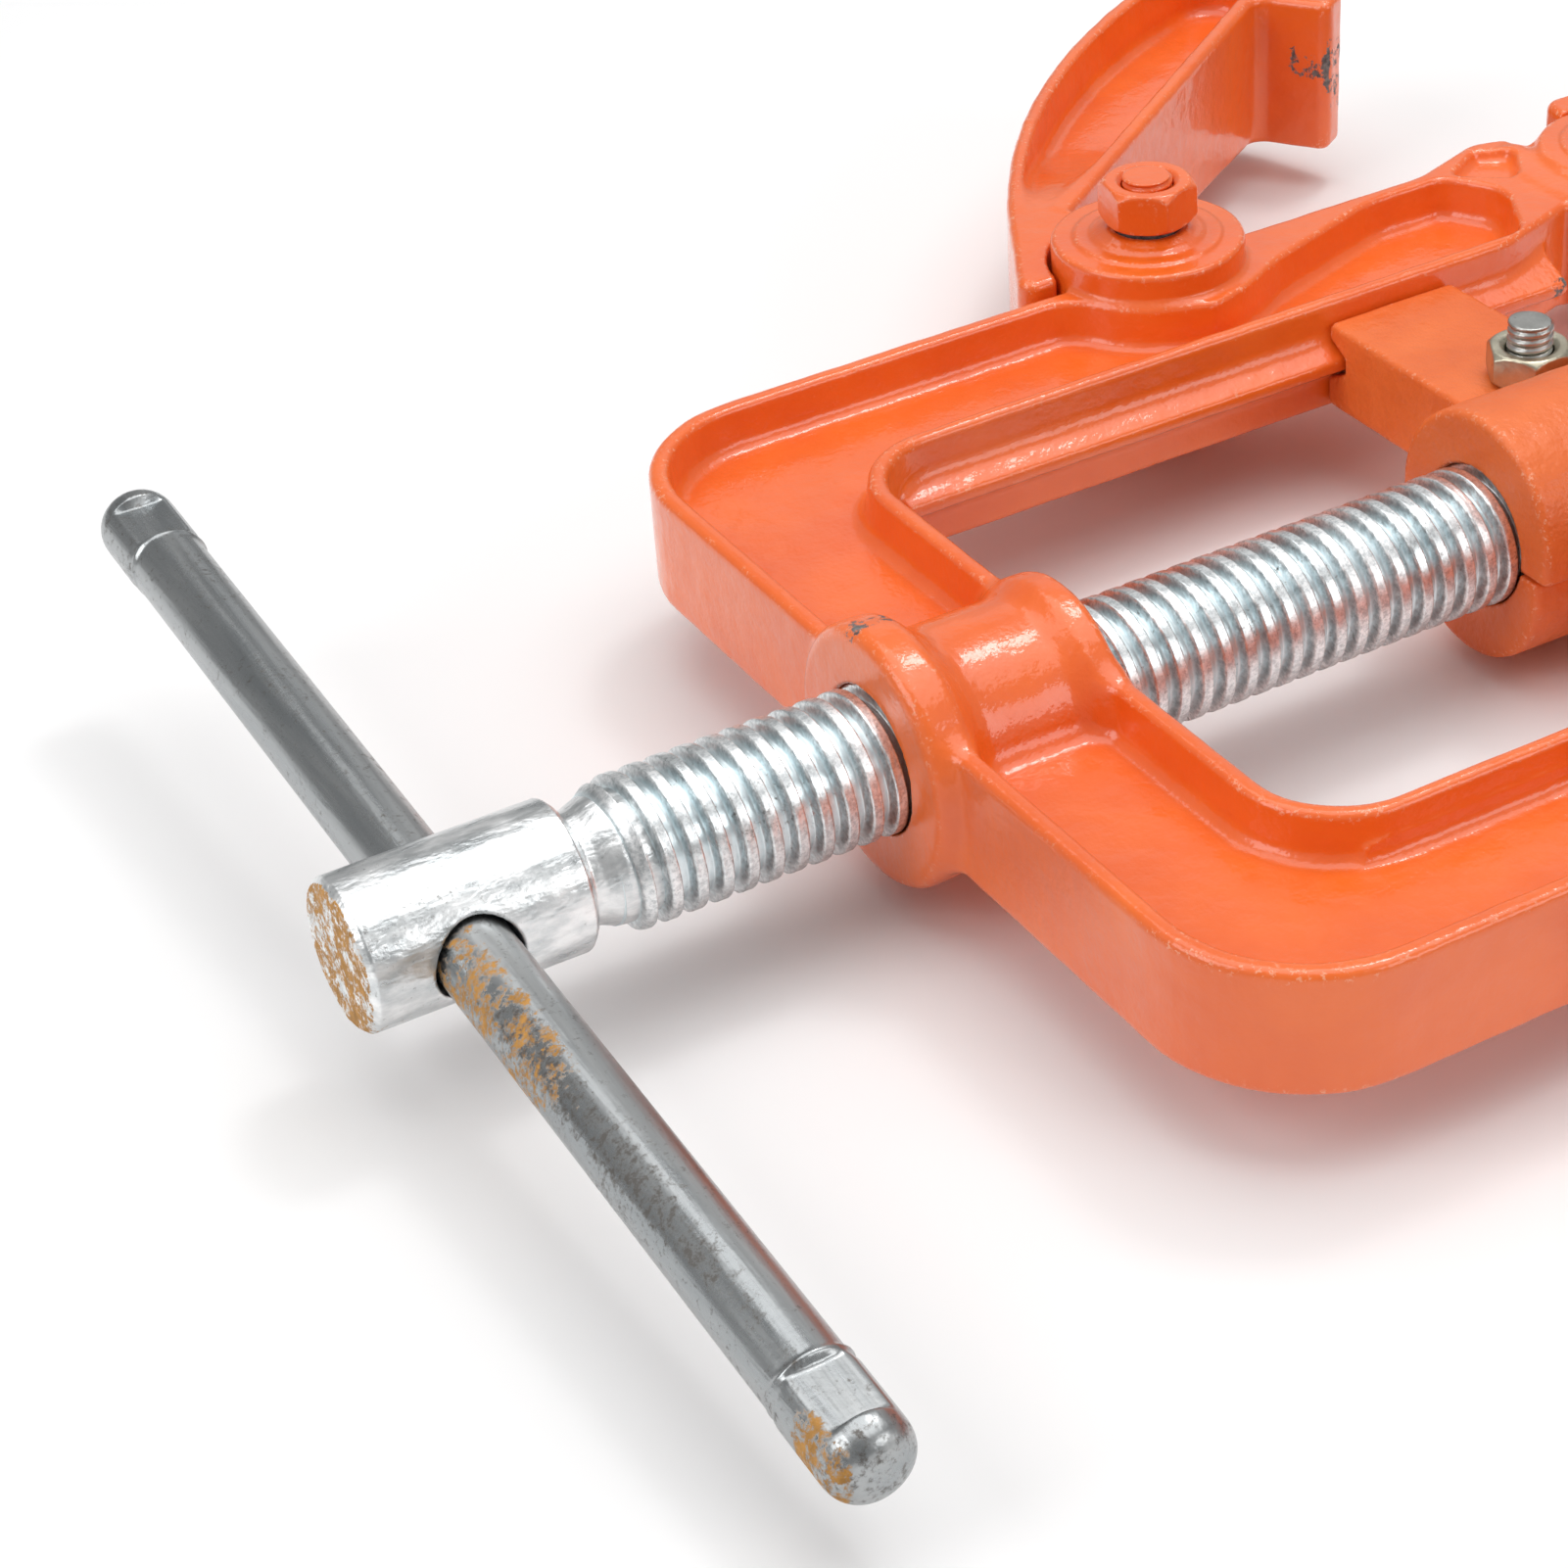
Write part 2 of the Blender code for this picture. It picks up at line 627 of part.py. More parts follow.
def bolt_hole(side):
    radius = SLIDER_THREAD / 2 + RUNNING
    outline = regular_outline(radius, PIN_SEGMENTS, (SLIDER_BOLT_X, side * SLIDER_BOLT_Y))
    return prism("bolt_hole", outline, 2 * CAP_BOTTOM, 2 * HOUSING_TOP)


def build_slider():
    """The upper body with its grooved wings, and the cap that closes round the screw."""
    wing = box("slider_body", (WING_BACK_X, -WING_HALF, WING_BOTTOM),
               (WING_BACK_X + WING_LENGTH, WING_HALF, WING_TOP))
    crown = half_round("crown", HOUSING_RADIUS, HOUSING_TOP, SEAM_Z, SLIDER_BACK_X, SLIDER_FRONT_X)
    room = half_round("room", CAP_RADIUS + SEAT, CAP_BOTTOM - SEAT, SEAM_Z + SEAT,
                      SLIDER_BACK_X - WING_LENGTH, SLIDER_FRONT_X + WING_LENGTH)
    cut(wing, room)
    join(wing, crown)
    cap = half_round("slider_cap", CAP_RADIUS, CAP_BOTTOM, SEAM_Z, SLIDER_BACK_X, SLIDER_FRONT_X)
    ear_top = WING_BOTTOM - SEAT
    ear_half = SLIDER_BOLT_Y + SLIDER_NUT_FLATS / 2
    join(cap, box("cap_ears", (WING_BACK_X + SEAT, -ear_half, ear_top - CAP_EAR_THICKNESS),
                  (WING_BACK_X + WING_LENGTH - SEAT, ear_half, ear_top)))
    for side in (1, -1):
        cut(wing, bolt_hole(side))
        cut(cap, bolt_hole(side))
        depth = TONGUE_REACH + SLIDING
        gap = SLIDING / 2
        section = [
            (WING_HALF + gap, TONGUE_ROOT / 2 + gap + SLIDING),
            (WINDOW_HALF - depth, TONGUE_LAND / 2 + gap),
            (WINDOW_HALF - depth, -TONGUE_LAND / 2 - gap),
            (WING_HALF + gap, -TONGUE_ROOT / 2 - gap - SLIDING),
        ]
        groove = prism("groove", section, WING_BACK_X - WING_LENGTH, WING_BACK_X + 2 * WING_LENGTH)
        turn = Matrix(((0, 0, 1, 0), (side, 0, 0, 0), (0, 1, 0, 0), (0, 0, 0, 1)))
        groove.data.transform(turn)
        if side < 0:
            groove.data.flip_normals()
        cut(wing, groove)
    cut(wing, screw_seat())
    cut(cap, screw_seat())
    bolt_washer = THREAD_DIAMETER / 2 - RUNNING
    washer = [(SCREW_END_X + SEAT, bolt_washer), (SCREW_END_X + SEAT + THRUST_WASHER, bolt_washer)]
    return wing, cap, turned("thrust_washer", washer, ROUND_SEGMENTS, "X")


def crown_tangent(along):
    """Height and slope of the hook's round back at a place along the leg."""
    offset = along - HOOK_CROWN_AT
    rise = math.sqrt(HOOK_CROWN_RADIUS ** 2 - offset ** 2)
    return HOOK_CROWN_RISE - HOOK_CROWN_RADIUS + rise, -offset / rise


def hook_back():
    """Corners of the back: heel, crown and shoulder, on the tangents where the round back ends."""
    start, start_slope = crown_tangent(HOOK_CROWN_START)
    end, end_slope = crown_tangent(HOOK_CROWN_END)
    run = end - start + start_slope * HOOK_CROWN_START - end_slope * HOOK_CROWN_END
    crown_at = run / (start_slope - end_slope)
    crown = (crown_at, start + start_slope * (crown_at - HOOK_CROWN_START))
    heel = (HOOK_HEEL_AT, start + start_slope * (HOOK_HEEL_AT - HOOK_CROWN_START))
    shoulder = (HOOK_SHOULDER_AT, end + end_slope * (HOOK_SHOULDER_AT - HOOK_CROWN_END))
    return heel, crown, shoulder


def hook_corners():
    """Crescent of the hook: a straight leg beside the pivot, a toe turned in, and a long round back."""
    heel, crown, shoulder = hook_back()
    tip = HOOK_OFFSET - HOOK_TOE
    neck = EAR_RADIUS / 2
    return [
        (HOOK_LEG, tip, HOOK_RIM / 3),
        (HOOK_LEG + HOOK_TOE_THICKNESS, tip, HOOK_RIM),
        (*shoulder, HOOK_SHOULDER_RADIUS),
        (*crown, HOOK_CROWN_RADIUS),
        (*heel, HOOK_RIM),
        (-neck, neck, 0),
        (neck, neck, 0),
        (neck + HOOK_RIM, HOOK_OFFSET, 0),
        (HOOK_LEG, HOOK_OFFSET, HOOK_RIM),
    ]


def hook_recess():
    """The recess between the leg's rim and the back's rim, which leaves the toe solid."""
    shoulder = hook_back()[2]
    tip_at = HOOK_LEG + HOOK_TOE_THICKNESS
    tip = HOOK_OFFSET - HOOK_TOE
    toe_share = HOOK_TOE / (shoulder[1] - tip)
    toe_back = tip_at + toe_share * (shoulder[0] - tip_at)
    drop = HOOK_CROWN_RISE - HOOK_OFFSET - 3 * HOOK_RIM
    opening_at = HOOK_CROWN_AT - math.sqrt(2 * HOOK_CROWN_RADIUS * drop - drop ** 2)
    corners = [
        (toe_back, HOOK_OFFSET, 2 * HOOK_RIM),
        (*shoulder, 0.5 * HOOK_SHOULDER_RADIUS),
    ]
    for step in range(CROWN_STEPS + 1):
        along = HOOK_CROWN_END + (opening_at - HOOK_CROWN_END) * step / CROWN_STEPS
        corners.append((along, crown_tangent(along)[0], 0))
    corners.append((opening_at, HOOK_OFFSET, 0))
    return inset_corners(corners, HOOK_RIM)


def eye_room():
    """The room cut round the eye for the frame's ears, open towards the recess."""
    radius = EAR_RADIUS + EAR_STEP + EAR_CLEARANCE
    behind = -HOOK_RIM / 2
    ahead = EAR_RADIUS / 2 + HOOK_RIM
    mouth = HOOK_OFFSET + 1.5 * HOOK_RIM
    start = math.acos(behind / radius)
    sweep = 2 * math.pi + math.acos(ahead / radius) - start
    angles = [start + sweep * k / ROUND_SEGMENTS for k in range(ROUND_SEGMENTS + 1)]
    points = [(radius * math.cos(a), radius * math.sin(a)) for a in angles]
    return points + [(ahead, mouth), (behind, mouth)]


def build_hook(name):
    """One rimmed casting, deeper at the toe than at the heel, with an eye that fits the frame's slot."""
    hook = rimmed_plate(
        name, hook_corners(), hook_recess(), HOOK_HEEL_HEIGHT, HOOK_RIM / 4, HOOK_WEB)
    eye = regular_outline(EAR_RADIUS, ROUND_SEGMENTS)
    join(hook, prism("eye", eye, -HOOK_HEEL_HEIGHT / 3, HOOK_HEEL_HEIGHT / 3))
    for side in (1, -1):
        low, high = sorted((side * HOOK_EYE / 2, side * HOOK_TOE_HEIGHT))
        cut(hook, prism("eye_room", eye_room(), low, high))
    bore = regular_outline(PIVOT_SHOULDER / 2 + RUNNING, HOLE_SEGMENTS)
    cut(hook, prism("eye_bore", bore, -HOOK_TOE_HEIGHT, HOOK_TOE_HEIGHT))
    growth = (HOOK_TOE_HEIGHT - HOOK_HEEL_HEIGHT) / 2 / HOOK_LEG
    for corner in hook.data.vertices:
        if abs(corner.co.z) > HOOK_EYE / 2 + SEAT:
            corner.co.z += math.copysign(growth * corner.co.x, corner.co.z)
    return hook


def hexagon(flats):
    return regular_outline(flats / math.sqrt(3), 6)


def build_nut(name, flats, thread, height):
    """A hexagon nut standing on Z = 0."""
    nut = prism(name, hexagon(flats), 0, height)
    hole = regular_outline(thread / 2 + RUNNING, PIN_SEGMENTS)
    cut(nut, prism("nut_hole", hole, -height, 2 * height))
    return nut


def build_bolt(name, flats, head, shank, shank_length, thread, thread_length):
    """A bolt whose head hangs below Z = 0, with a shank and a thinner thread above it."""
    bolt = prism(name, hexagon(flats), -head, 0)
    chamfer = thread / 10
    profile = [
        (-head / 2, shank / 2),
        (shank_length, shank / 2),
        (shank_length, thread / 2),
        (shank_length + thread_length - chamfer, thread / 2),
        (shank_length + thread_length, thread / 2 - chamfer),
    ]
    if math.isclose(shank, thread):
        del profile[1:3]
    join(bolt, turned("shank", profile, PIN_SEGMENTS, "Z"))
    return bolt


def pivot_fasteners(name, ear_height, spot):
    """A shoulder bolt up through the ears, and the nut that locks against its shoulder."""
    floor = ear_height / 2 + SEAT_STEP + SEAT_CROWN
    shoulder = 2 * floor + SEAT + PIVOT_STAND_OFF
    nut_z = -floor - SEAT + shoulder + SEAT
    stem = SEAT + PIVOT_NUT_HEIGHT + PIVOT_BOLT_END
    bolt = build_bolt(f"{name}_bolt", PIVOT_NUT_FLATS, PIVOT_HEAD_HEIGHT, PIVOT_SHOULDER, shoulder,
                      PIVOT_THREAD, stem)
    place(bolt, (*spot, -floor - SEAT), PIVOT_NUT_TURN)
    nut = build_nut(f"{name}_nut", PIVOT_NUT_FLATS, PIVOT_THREAD, PIVOT_NUT_HEIGHT)
    place(nut, (*spot, nut_z), PIVOT_NUT_TURN)
    return [bolt, nut]


def slider_fasteners(name, side):
    """A plain bolt up through the cap's ear and the wing, with its nut on the wing."""
    floor = WING_BOTTOM - SEAT - CAP_EAR_THICKNESS
    grip = WING_TOP - floor
    stem = grip + 2 * SEAT + SLIDER_NUT_HEIGHT + SLIDER_BOLT_END
    bolt = build_bolt(f"{name}_bolt", SLIDER_NUT_FLATS, SLIDER_HEAD_HEIGHT, SLIDER_THREAD, 0,
                      SLIDER_THREAD, stem)
    spot = (SLIDER_BOLT_X, side * SLIDER_BOLT_Y)
    place(bolt, (*spot, floor - SEAT))
    nut = build_nut(f"{name}_nut", SLIDER_NUT_FLATS, SLIDER_THREAD, SLIDER_NUT_HEIGHT)
    place(nut, (*spot, WING_TOP + SEAT))
    return [bolt, nut]


def paint(item, material):
    item.data.materials.clear()
    item.data.materials.append(material)
    item.data.shade_smooth()
    item.data.set_sharp_from_angle(angle=math.radians(35))


def place_origin(pieces):
    """Hang the pieces on an empty so that the origin lies under the middle of the object."""
    bpy.context.view_layer.update()
    corners = [p.matrix_world @ v.co for p in pieces for v in p.data.vertices]
    middle = (min(c.x for c in corners) + max(c.x for c in corners)) / 2
    lowest = min(c.z for c in corners)
    datum = bpy.data.objects.new("datum", None)
    bpy.context.scene.collection.objects.link(datum)
    for piece in pieces:
        piece.parent = datum
    datum.location = (-middle, 0, -lowest)
    bpy.context.view_layer.update()


def build():
    clear_scene()
    enamel = make_material("orange_enamel", ORANGE, 0.3, 0)
    dry_enamel = make_material("orange_dry", ORANGE_DRY, 0.5, 0)
    zinc = make_material("zinc_plate", ZINC, 0.3, 1)
    yellow_zinc = make_material("yellow_zinc", YELLOW_ZINC, 0.35, 1)
    bronze = make_material("bronze", BRONZE, 0.4, 1)

    frame = build_frame()
    screw = build_screw()
    bar = build_bar()
    body, cap, washer = build_slider()
    painted = [frame]
    plated = [screw, bar]
    yellow = []
    pivots = (("near", NEAR_PIVOT_X, NEAR_PIVOT_Y, NEAR_HOOK_ANGLE, NEAR_EAR_HEIGHT),
              ("far", FAR_PIVOT_X, FAR_PIVOT_Y, FAR_HOOK_ANGLE, FAR_EAR_HEIGHT))
    for label, x, y, angle, ear_height in pivots:
        left = build_hook(f"{label}_hook_left")
        right = mirrored(f"{label}_hook_right", left)
        place(left, (x, y, 0), angle)
        place(right, (x, -y, 0), -angle)
        painted += [left, right]
        painted += pivot_fasteners(f"{label}_pivot_left", ear_height, (x, y))
        painted += pivot_fasteners(f"{label}_pivot_right", ear_height, (x, -y))
    yellow += slider_fasteners("slider_left", 1)
    yellow += slider_fasteners("slider_right", -1)

    for group, material in ((painted, enamel), ([body, cap], dry_enamel), (plated, zinc),
                            (yellow, yellow_zinc), ([washer], bronze)):
        for item in group:
            paint(item, material)
    place_origin(painted + [body, cap] + plated + yellow + [washer])


build()
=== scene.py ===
"""Looks of the wheel-rim clamp.

Castings, bolts, nuts and the screw's head are solid fields in millimetres, joined and cut with fillets, then
meshed. The screw's thread and the bar are swept from rings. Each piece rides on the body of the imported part
that it dresses.
"""
import json
import math

import bpy
import numpy as np
from mathutils import Matrix, Vector


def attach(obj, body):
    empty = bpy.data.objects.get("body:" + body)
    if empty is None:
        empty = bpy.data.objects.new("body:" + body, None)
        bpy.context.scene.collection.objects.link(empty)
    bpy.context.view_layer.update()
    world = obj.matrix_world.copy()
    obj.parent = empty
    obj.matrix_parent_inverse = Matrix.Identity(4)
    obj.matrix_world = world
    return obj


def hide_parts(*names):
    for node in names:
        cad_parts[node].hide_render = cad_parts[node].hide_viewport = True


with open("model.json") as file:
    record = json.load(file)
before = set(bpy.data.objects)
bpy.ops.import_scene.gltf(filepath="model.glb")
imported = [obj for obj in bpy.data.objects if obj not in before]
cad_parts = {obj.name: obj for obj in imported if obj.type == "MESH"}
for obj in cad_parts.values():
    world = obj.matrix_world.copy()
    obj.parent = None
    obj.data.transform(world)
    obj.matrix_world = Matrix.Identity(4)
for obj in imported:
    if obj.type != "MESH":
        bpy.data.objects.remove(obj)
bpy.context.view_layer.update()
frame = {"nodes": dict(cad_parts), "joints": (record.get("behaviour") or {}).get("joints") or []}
JOINTS = {joint["name"]: joint for joint in frame["joints"]}

MM = 0.001
SIDES = (("left", 1), ("right", -1))

# Sizes in millimetres. X runs along the screw from the crossbar's front face, Y to the left rail, Z up.
FRAME_HALF = 112.5
FRAME_TOP = 12.5
WINDOW_HALF = 75.0
CROSSBAR = 38.5
OUTER_CORNER = 30.0
INNER_CORNER = 16.5
RIM = 4.0
WEB_HALF = 3.3
RAIL_END = 232.0
FRAME_EDGE = 1.7
POCKET_DRAFT = 0.13
POCKET_FILLET = 2.6
POCKET_EDGE = 1.3
CAST_UNEVEN = 0.09

NEAR_PIVOT = (133.0, 113.0)
FAR_PIVOT = (250.0, 95.0)
EAR_RADIUS = 20.6
EAR_FOOT = 21.4
EYE_RADIUS = 20.0
NEAR_EAR_TOP = 19.0
FAR_EAR_TOP = 14.1
SEAT_STEPS = ((16.4, 15.2, 0.6), (13, 11, 0.9), (11, 8.6, 0.9))  # outer radius, inner radius, rise
SEAT_RISE = sum(rise for *_, rise in SEAT_STEPS)
FOOT_DROP = 0.6
SLOT_HALF = 7.4
SLOT_ROOM = 0.4
SLOT_MOUTH = 27.0
PIVOT_BORE = 7.3

BOSS_FRONT = -3.8
BOSS_FLANGE = 25.1
BOSS_BARREL = 20.0
BOSS_LIP = 22.4
BOSS_FILLET = 3.5
SCREW_BORE = 14.15

TONGUE_REACH = 5.5
TONGUE_ROOT = 4.1
TONGUE_LAND = 1.3
TONGUE_SPAN = (46.75, 212.0)

THREAD_RADIUS = 14.0
THREAD_PITCH = 5.0
THREAD_DEPTH = 2.6
THREAD_FLANK = (0.60, 0.40)
THREAD_STEPS = 30
THREAD_SIDES = 80
THREAD_SPAN = (-59.0, 134.0)
HEAD_SPAN = (-107.2, -64.4)
HEAD_RADIUS = 14.1
NECK_RADIUS = 11.4
BAR_X = -87.2
BAR_HOLE = 8.1
BAR_TILT = math.radians(4.1)
BAR_HALF = 145.0
BAR_RADIUS = 7.4
BAR_FLAT = 5.7
BAR_SWELL = 0.4
BAR_RIDGE = 20.7
BAR_SIDES = 96
DOME_LENGTH = 6.6
DOME_POWER = 2.6

SLIDER_SPAN = (131.0, 196.0)
HOUSING_RADIUS = 22.0
HOUSING_TOP = 25.2
CAP_RADIUS = 19.5
CAP_BOTTOM = -26.0
SEAM = -2.0
WING_SPAN = (152.0, 184.0)
WING_HALF = 74.5
WING_TOP = 8.0
WING_BOTTOM = -11.0
CAP_EAR_BOTTOM = -19.3
SLIDER_BOLT_SPOT = (170.0, 32.0)
SLIDER_BOLT_HOLE = 5.2
SLIDER_UNEVEN = 0.12
SCREW_ROOM_END = 188.0

HOOK_LEG = 128.0
HOOK_OFFSET = 23.3
HOOK_TIP = 4.5
HOOK_TOE_BACK = 139.0
HOOK_SHOULDER = (152.0, 48.1)
HOOK_CROWN = (63.5, 64.9)
HOOK_CROWN_RADIUS = 195.0
HOOK_HEEL = (-16.0, 24.7)
HOOK_RIM = 4.0
HOOK_WEB_HALF = 6.5
HOOK_EYE_HALF = 7.0
HOOK_HEEL_TOP = 14.5
HOOK_GROWTH = 4.5 / HOOK_LEG
HOOK_EDGE = 1.9
HOOK_DRAFT = 0.08
HOOK_RAMP = (74.0, 27.0)
NEAR_REST = math.radians(34)
FAR_REST = math.radians(-30)
EAR_ROOM = 21.4

PIVOT_FLATS = 18.4
PIVOT_HEAD = 7.5
PIVOT_SHANK = 7.0
PIVOT_THREAD = 5.3
PIVOT_NUT_HEIGHT = 9.0
PIVOT_NUT_BORE = 5.6
PIVOT_TURN = math.radians(20)
PIVOT_REACH = (11.5, 11.5)
SHOULDER_RISE = 1.3
SLIDER_BOLT_FLATS = 16.5
SLIDER_BOLT_HEAD = 6.4
SLIDER_BOLT_RADIUS = 4.6
SLIDER_NUT_FLATS = 15.8
SLIDER_NUT_HEIGHT = 7.2
SLIDER_NUT_BORE = 4.9
SLIDER_REACH = (11.0, 10.0)
STUD_RISE = 5.4
SEAT_GAP = 0.3
BOLT_PITCH = 1.75
BOLT_GROOVE = 0.55

DATUM = Vector(JOINTS["near_swing_left"]["pos_m"]) - Vector((*NEAR_PIVOT, 0)) * MM


# Fields: negative inside, in millimetres. The last number of join, both and cut is a rounding's radius.

def rounded_outline(corners, stride=math.radians(6)):
    """Points of a closed outline from corners (x, y, radius), each rounded by an arc."""
    points = []
    for index, (x, y, radius) in enumerate(corners):
        corner = Vector((x, y))
        before = (Vector(corners[index - 1][:2]) - corner).normalized()
        after = (Vector(corners[(index + 1) % len(corners)][:2]) - corner).normalized()
        if radius == 0:
            points.append(corner)
            continue
        half = before.angle(after) / 2
        centre = corner + (before + after).normalized() * radius / math.sin(half)
        first = corner + before * radius / math.tan(half) - centre
        last = corner + after * radius / math.tan(half) - centre
        turn = first.angle_signed(last)
        steps = max(4, math.ceil(abs(turn) / stride))
        for step in range(steps + 1):
            points.append(centre + Matrix.Rotation(-turn * step / steps, 2) @ first)
    return np.array([(p.x, p.y) for p in points])


def outline_distance(x, y, points):
    """Signed distance to a closed outline."""
    nearest = np.full(np.broadcast(x, y).shape, 1e9)
    inside = np.zeros(nearest.shape, bool)
    for (ax, ay), (bx, by) in zip(points, np.roll(points, -1, axis=0)):
        dx, dy = bx - ax, by - ay
        length = dx * dx + dy * dy
        if length < 1e-12:
            continue
        share = np.clip(((x - ax) * dx + (y - ay) * dy) / length, 0, 1)
        nearest = np.minimum(nearest, (x - ax - share * dx) ** 2 + (y - ay - share * dy) ** 2)
        if dy != 0:
            crosses = (y >= min(ay, by)) & (y < max(ay, by))
            inside ^= crosses & (x < ax + (y - ay) * dx / dy)
    return np.where(inside, -1, 1) * np.sqrt(nearest)


def join(a, b, radius):
    """Union with a concave fillet."""
    u = np.maximum(radius - a, 0)
    v = np.maximum(radius - b, 0)
    return np.maximum(radius, np.minimum(a, b)) - np.sqrt(u * u + v * v)


def both(a, b, radius):
    """Intersection with a rounded edge."""
    return -join(-a, -b, radius)


def cut(a, b, radius):
    """What is left of a outside b, with a rounded edge."""
    return both(a, -b, radius)


def slab(plan, z, half, edge):
    """A plan drawn up to a height above and below, with rounded edges."""
    return both(plan, np.abs(z) - half, edge)


def between(value, low, high):
    """Distance to the room between two planes."""
    return np.abs(value - (low + high) / 2) - (high - low) / 2


def smooth(value, start, end):
    """A soft step from 0 at the start to 1 at the end."""
    share = np.clip((value - start) / (end - start), 0, 1)
    return share * share * (3 - 2 * share)


def cast_wave(x, y, z):
    """Slow unevenness of a sand casting, between about -1 and 1."""
    along = np.sin(0.23 * x + 1.3 * np.sin(0.17 * y + 0.4))
    slow = along * np.sin(0.19 * y + 1.1 * np.sin(0.21 * z + 0.13 * x))
    quick = np.sin(0.61 * x - 0.37 * y + 1.7) * np.sin(0.53 * z + 0.41 * y + 0.3)
    return 0.6 * slow + 0.4 * quick


def dovetail(z, reach, room=0.0):
    """Distance to the slanted flanks of a tongue, at a reach from its root."""
    taper = (TONGUE_ROOT - TONGUE_LAND) / TONGUE_REACH
    return (np.abs(z) - TONGUE_ROOT - room + taper * reach) / math.hypot(1, taper)


# Meshing

SLICE = 24
NORMAL_REACH = 0.3
EDGE_TURN = (0.08, 0.26)


def half_axis(extent, step):
    """Grid places on one side of a mirror, half a step off it."""
    return (np.arange(int(extent / step) + 2) + 0.5) * step


def mesh_field(name, field, low, high, step, mirror=(), keep=1.0):
    """Mesh the zero surface of a field, with one point in each crossed cell of a grid."""
    axes = []
    for axis in range(3):
        if axis in mirror:
            axes.append(half_axis(high[axis], step))
        else:
            axes.append(np.arange(low[axis], high[axis] + step, step))
    parts = []
    for first in range(0, len(axes[0]), SLICE):
        piece = axes[0][first:first + SLICE]
        parts.append(field(piece[:, None, None], axes[1][None, :, None], axes[2][None, None, :]))
    values = np.concatenate(parts).astype(np.float32)
    for axis in mirror:
        values = np.concatenate([np.flip(values, axis), values], axis)
        axes[axis] = np.concatenate([-axes[axis][::-1], axes[axis]])
    points, quads = surface_net(values)
    origin = np.array([axis[0] for axis in axes])
    points = origin + points * step
    item = new_mesh(name, points * MM, quads)
    if keep < 1:
        reduce_mesh(item, keep)
    set_field_normals(item, field)
    return item


def surface_net(values):
    """Points and outward quads of the surface where a grid of values changes sign."""
    inside = values < 0
    shape = np.array(values.shape)
    corners = [(i, j, k) for i in (0, 1) for j in (0, 1) for k in (0, 1)]
    count = np.zeros(shape - 1, np.int8)
    for i, j, k in corners:
        count += inside[i:shape[0] - 1 + i, j:shape[1] - 1 + j, k:shape[2] - 1 + k]
    active = (count > 0) & (count < 8)
    cells = np.argwhere(active)
    number = np.full(active.shape, -1, np.int32)
    number[active] = np.arange(len(cells))
    at = {c: values[cells[:, 0] + c[0], cells[:, 1] + c[1], cells[:, 2] + c[2]] for c in corners}
    total = np.zeros((len(cells), 3))
    hits = np.zeros(len(cells))
    for start in corners:
        for axis in range(3):
            if start[axis] == 1:
                continue
            end = tuple(1 if k == axis else v for k, v in enumerate(start))
            crossing = (at[start] < 0) != (at[end] < 0)
            share = np.where(crossing, at[start] / np.where(crossing, at[start] - at[end], 1), 0)
            spot = np.array(start, float) + share[:, None] * (np.arange(3) == axis)
            total += spot * crossing[:, None]
            hits += crossing
    points = cells + total / hits[:, None]
    quads = []
    for axis in range(3):
        across, over = (axis + 1) % 3, (axis + 2) % 3
        low = np.take(inside, range(shape[axis] - 1), axis)
        high = np.take(inside, range(1, shape[axis]), axis)
        spots = np.argwhere(low != high)
        fits = (spots[:, across] > 0) & (spots[:, across] < shape[across] - 1)
        fits &= (spots[:, over] > 0) & (spots[:, over] < shape[over] - 1)
        spots = spots[fits]
        ring = []
        for da, do in ((-1, -1), (0, -1), (0, 0), (-1, 0)):
            cell = spots.copy()
            cell[:, across] += da
            cell[:, over] += do
            ring.append(number[cell[:, 0], cell[:, 1], cell[:, 2]])
        ring = np.stack(ring, 1)
        outward = low[spots[:, 0], spots[:, 1], spots[:, 2]]
        ring[~outward] = ring[~outward][:, ::-1]
        quads.append(ring)
    return points, np.concatenate(quads)


def linked(name, data):
    """A new object in the scene for a mesh, a camera or a light."""
    item = bpy.data.objects.new(name, data)
    bpy.context.scene.collection.objects.link(item)
    return item


def new_mesh(name, points, faces):
    """An object from arrays of points and of equal-sided faces."""
    mesh = bpy.data.meshes.new(name)
    sides = faces.shape[1]
    mesh.vertices.add(len(points))
    mesh.vertices.foreach_set("co", np.ascontiguousarray(points, np.float32).ravel())
    mesh.loops.add(faces.size)
    mesh.loops.foreach_set("vertex_index", np.ascontiguousarray(faces, np.int32).ravel())
    mesh.polygons.add(len(faces))
    mesh.polygons.foreach_set("loop_start", np.arange(len(faces), dtype=np.int32) * sides)
    mesh.update(calc_edges=True)
    mesh.validate()
    mesh.shade_smooth()
    return linked(name, mesh)


def reduce_mesh(item, keep):
    """Keep a share of the faces, the ones that carry the form."""
    modifier = item.modifiers.new("reduce", "DECIMATE")
    modifier.ratio = keep
    graph = bpy.context.evaluated_depsgraph_get()
    mesh = bpy.data.meshes.new_from_object(item.evaluated_get(graph))
    item.modifiers.clear()
    item.data = mesh
    mesh.shade_smooth()


def vertex_array(mesh):
    spots = np.zeros(len(mesh.vertices) * 3, np.float32)
    mesh.vertices.foreach_get("co", spots)
    return spots.reshape(-1, 3).astype(float)


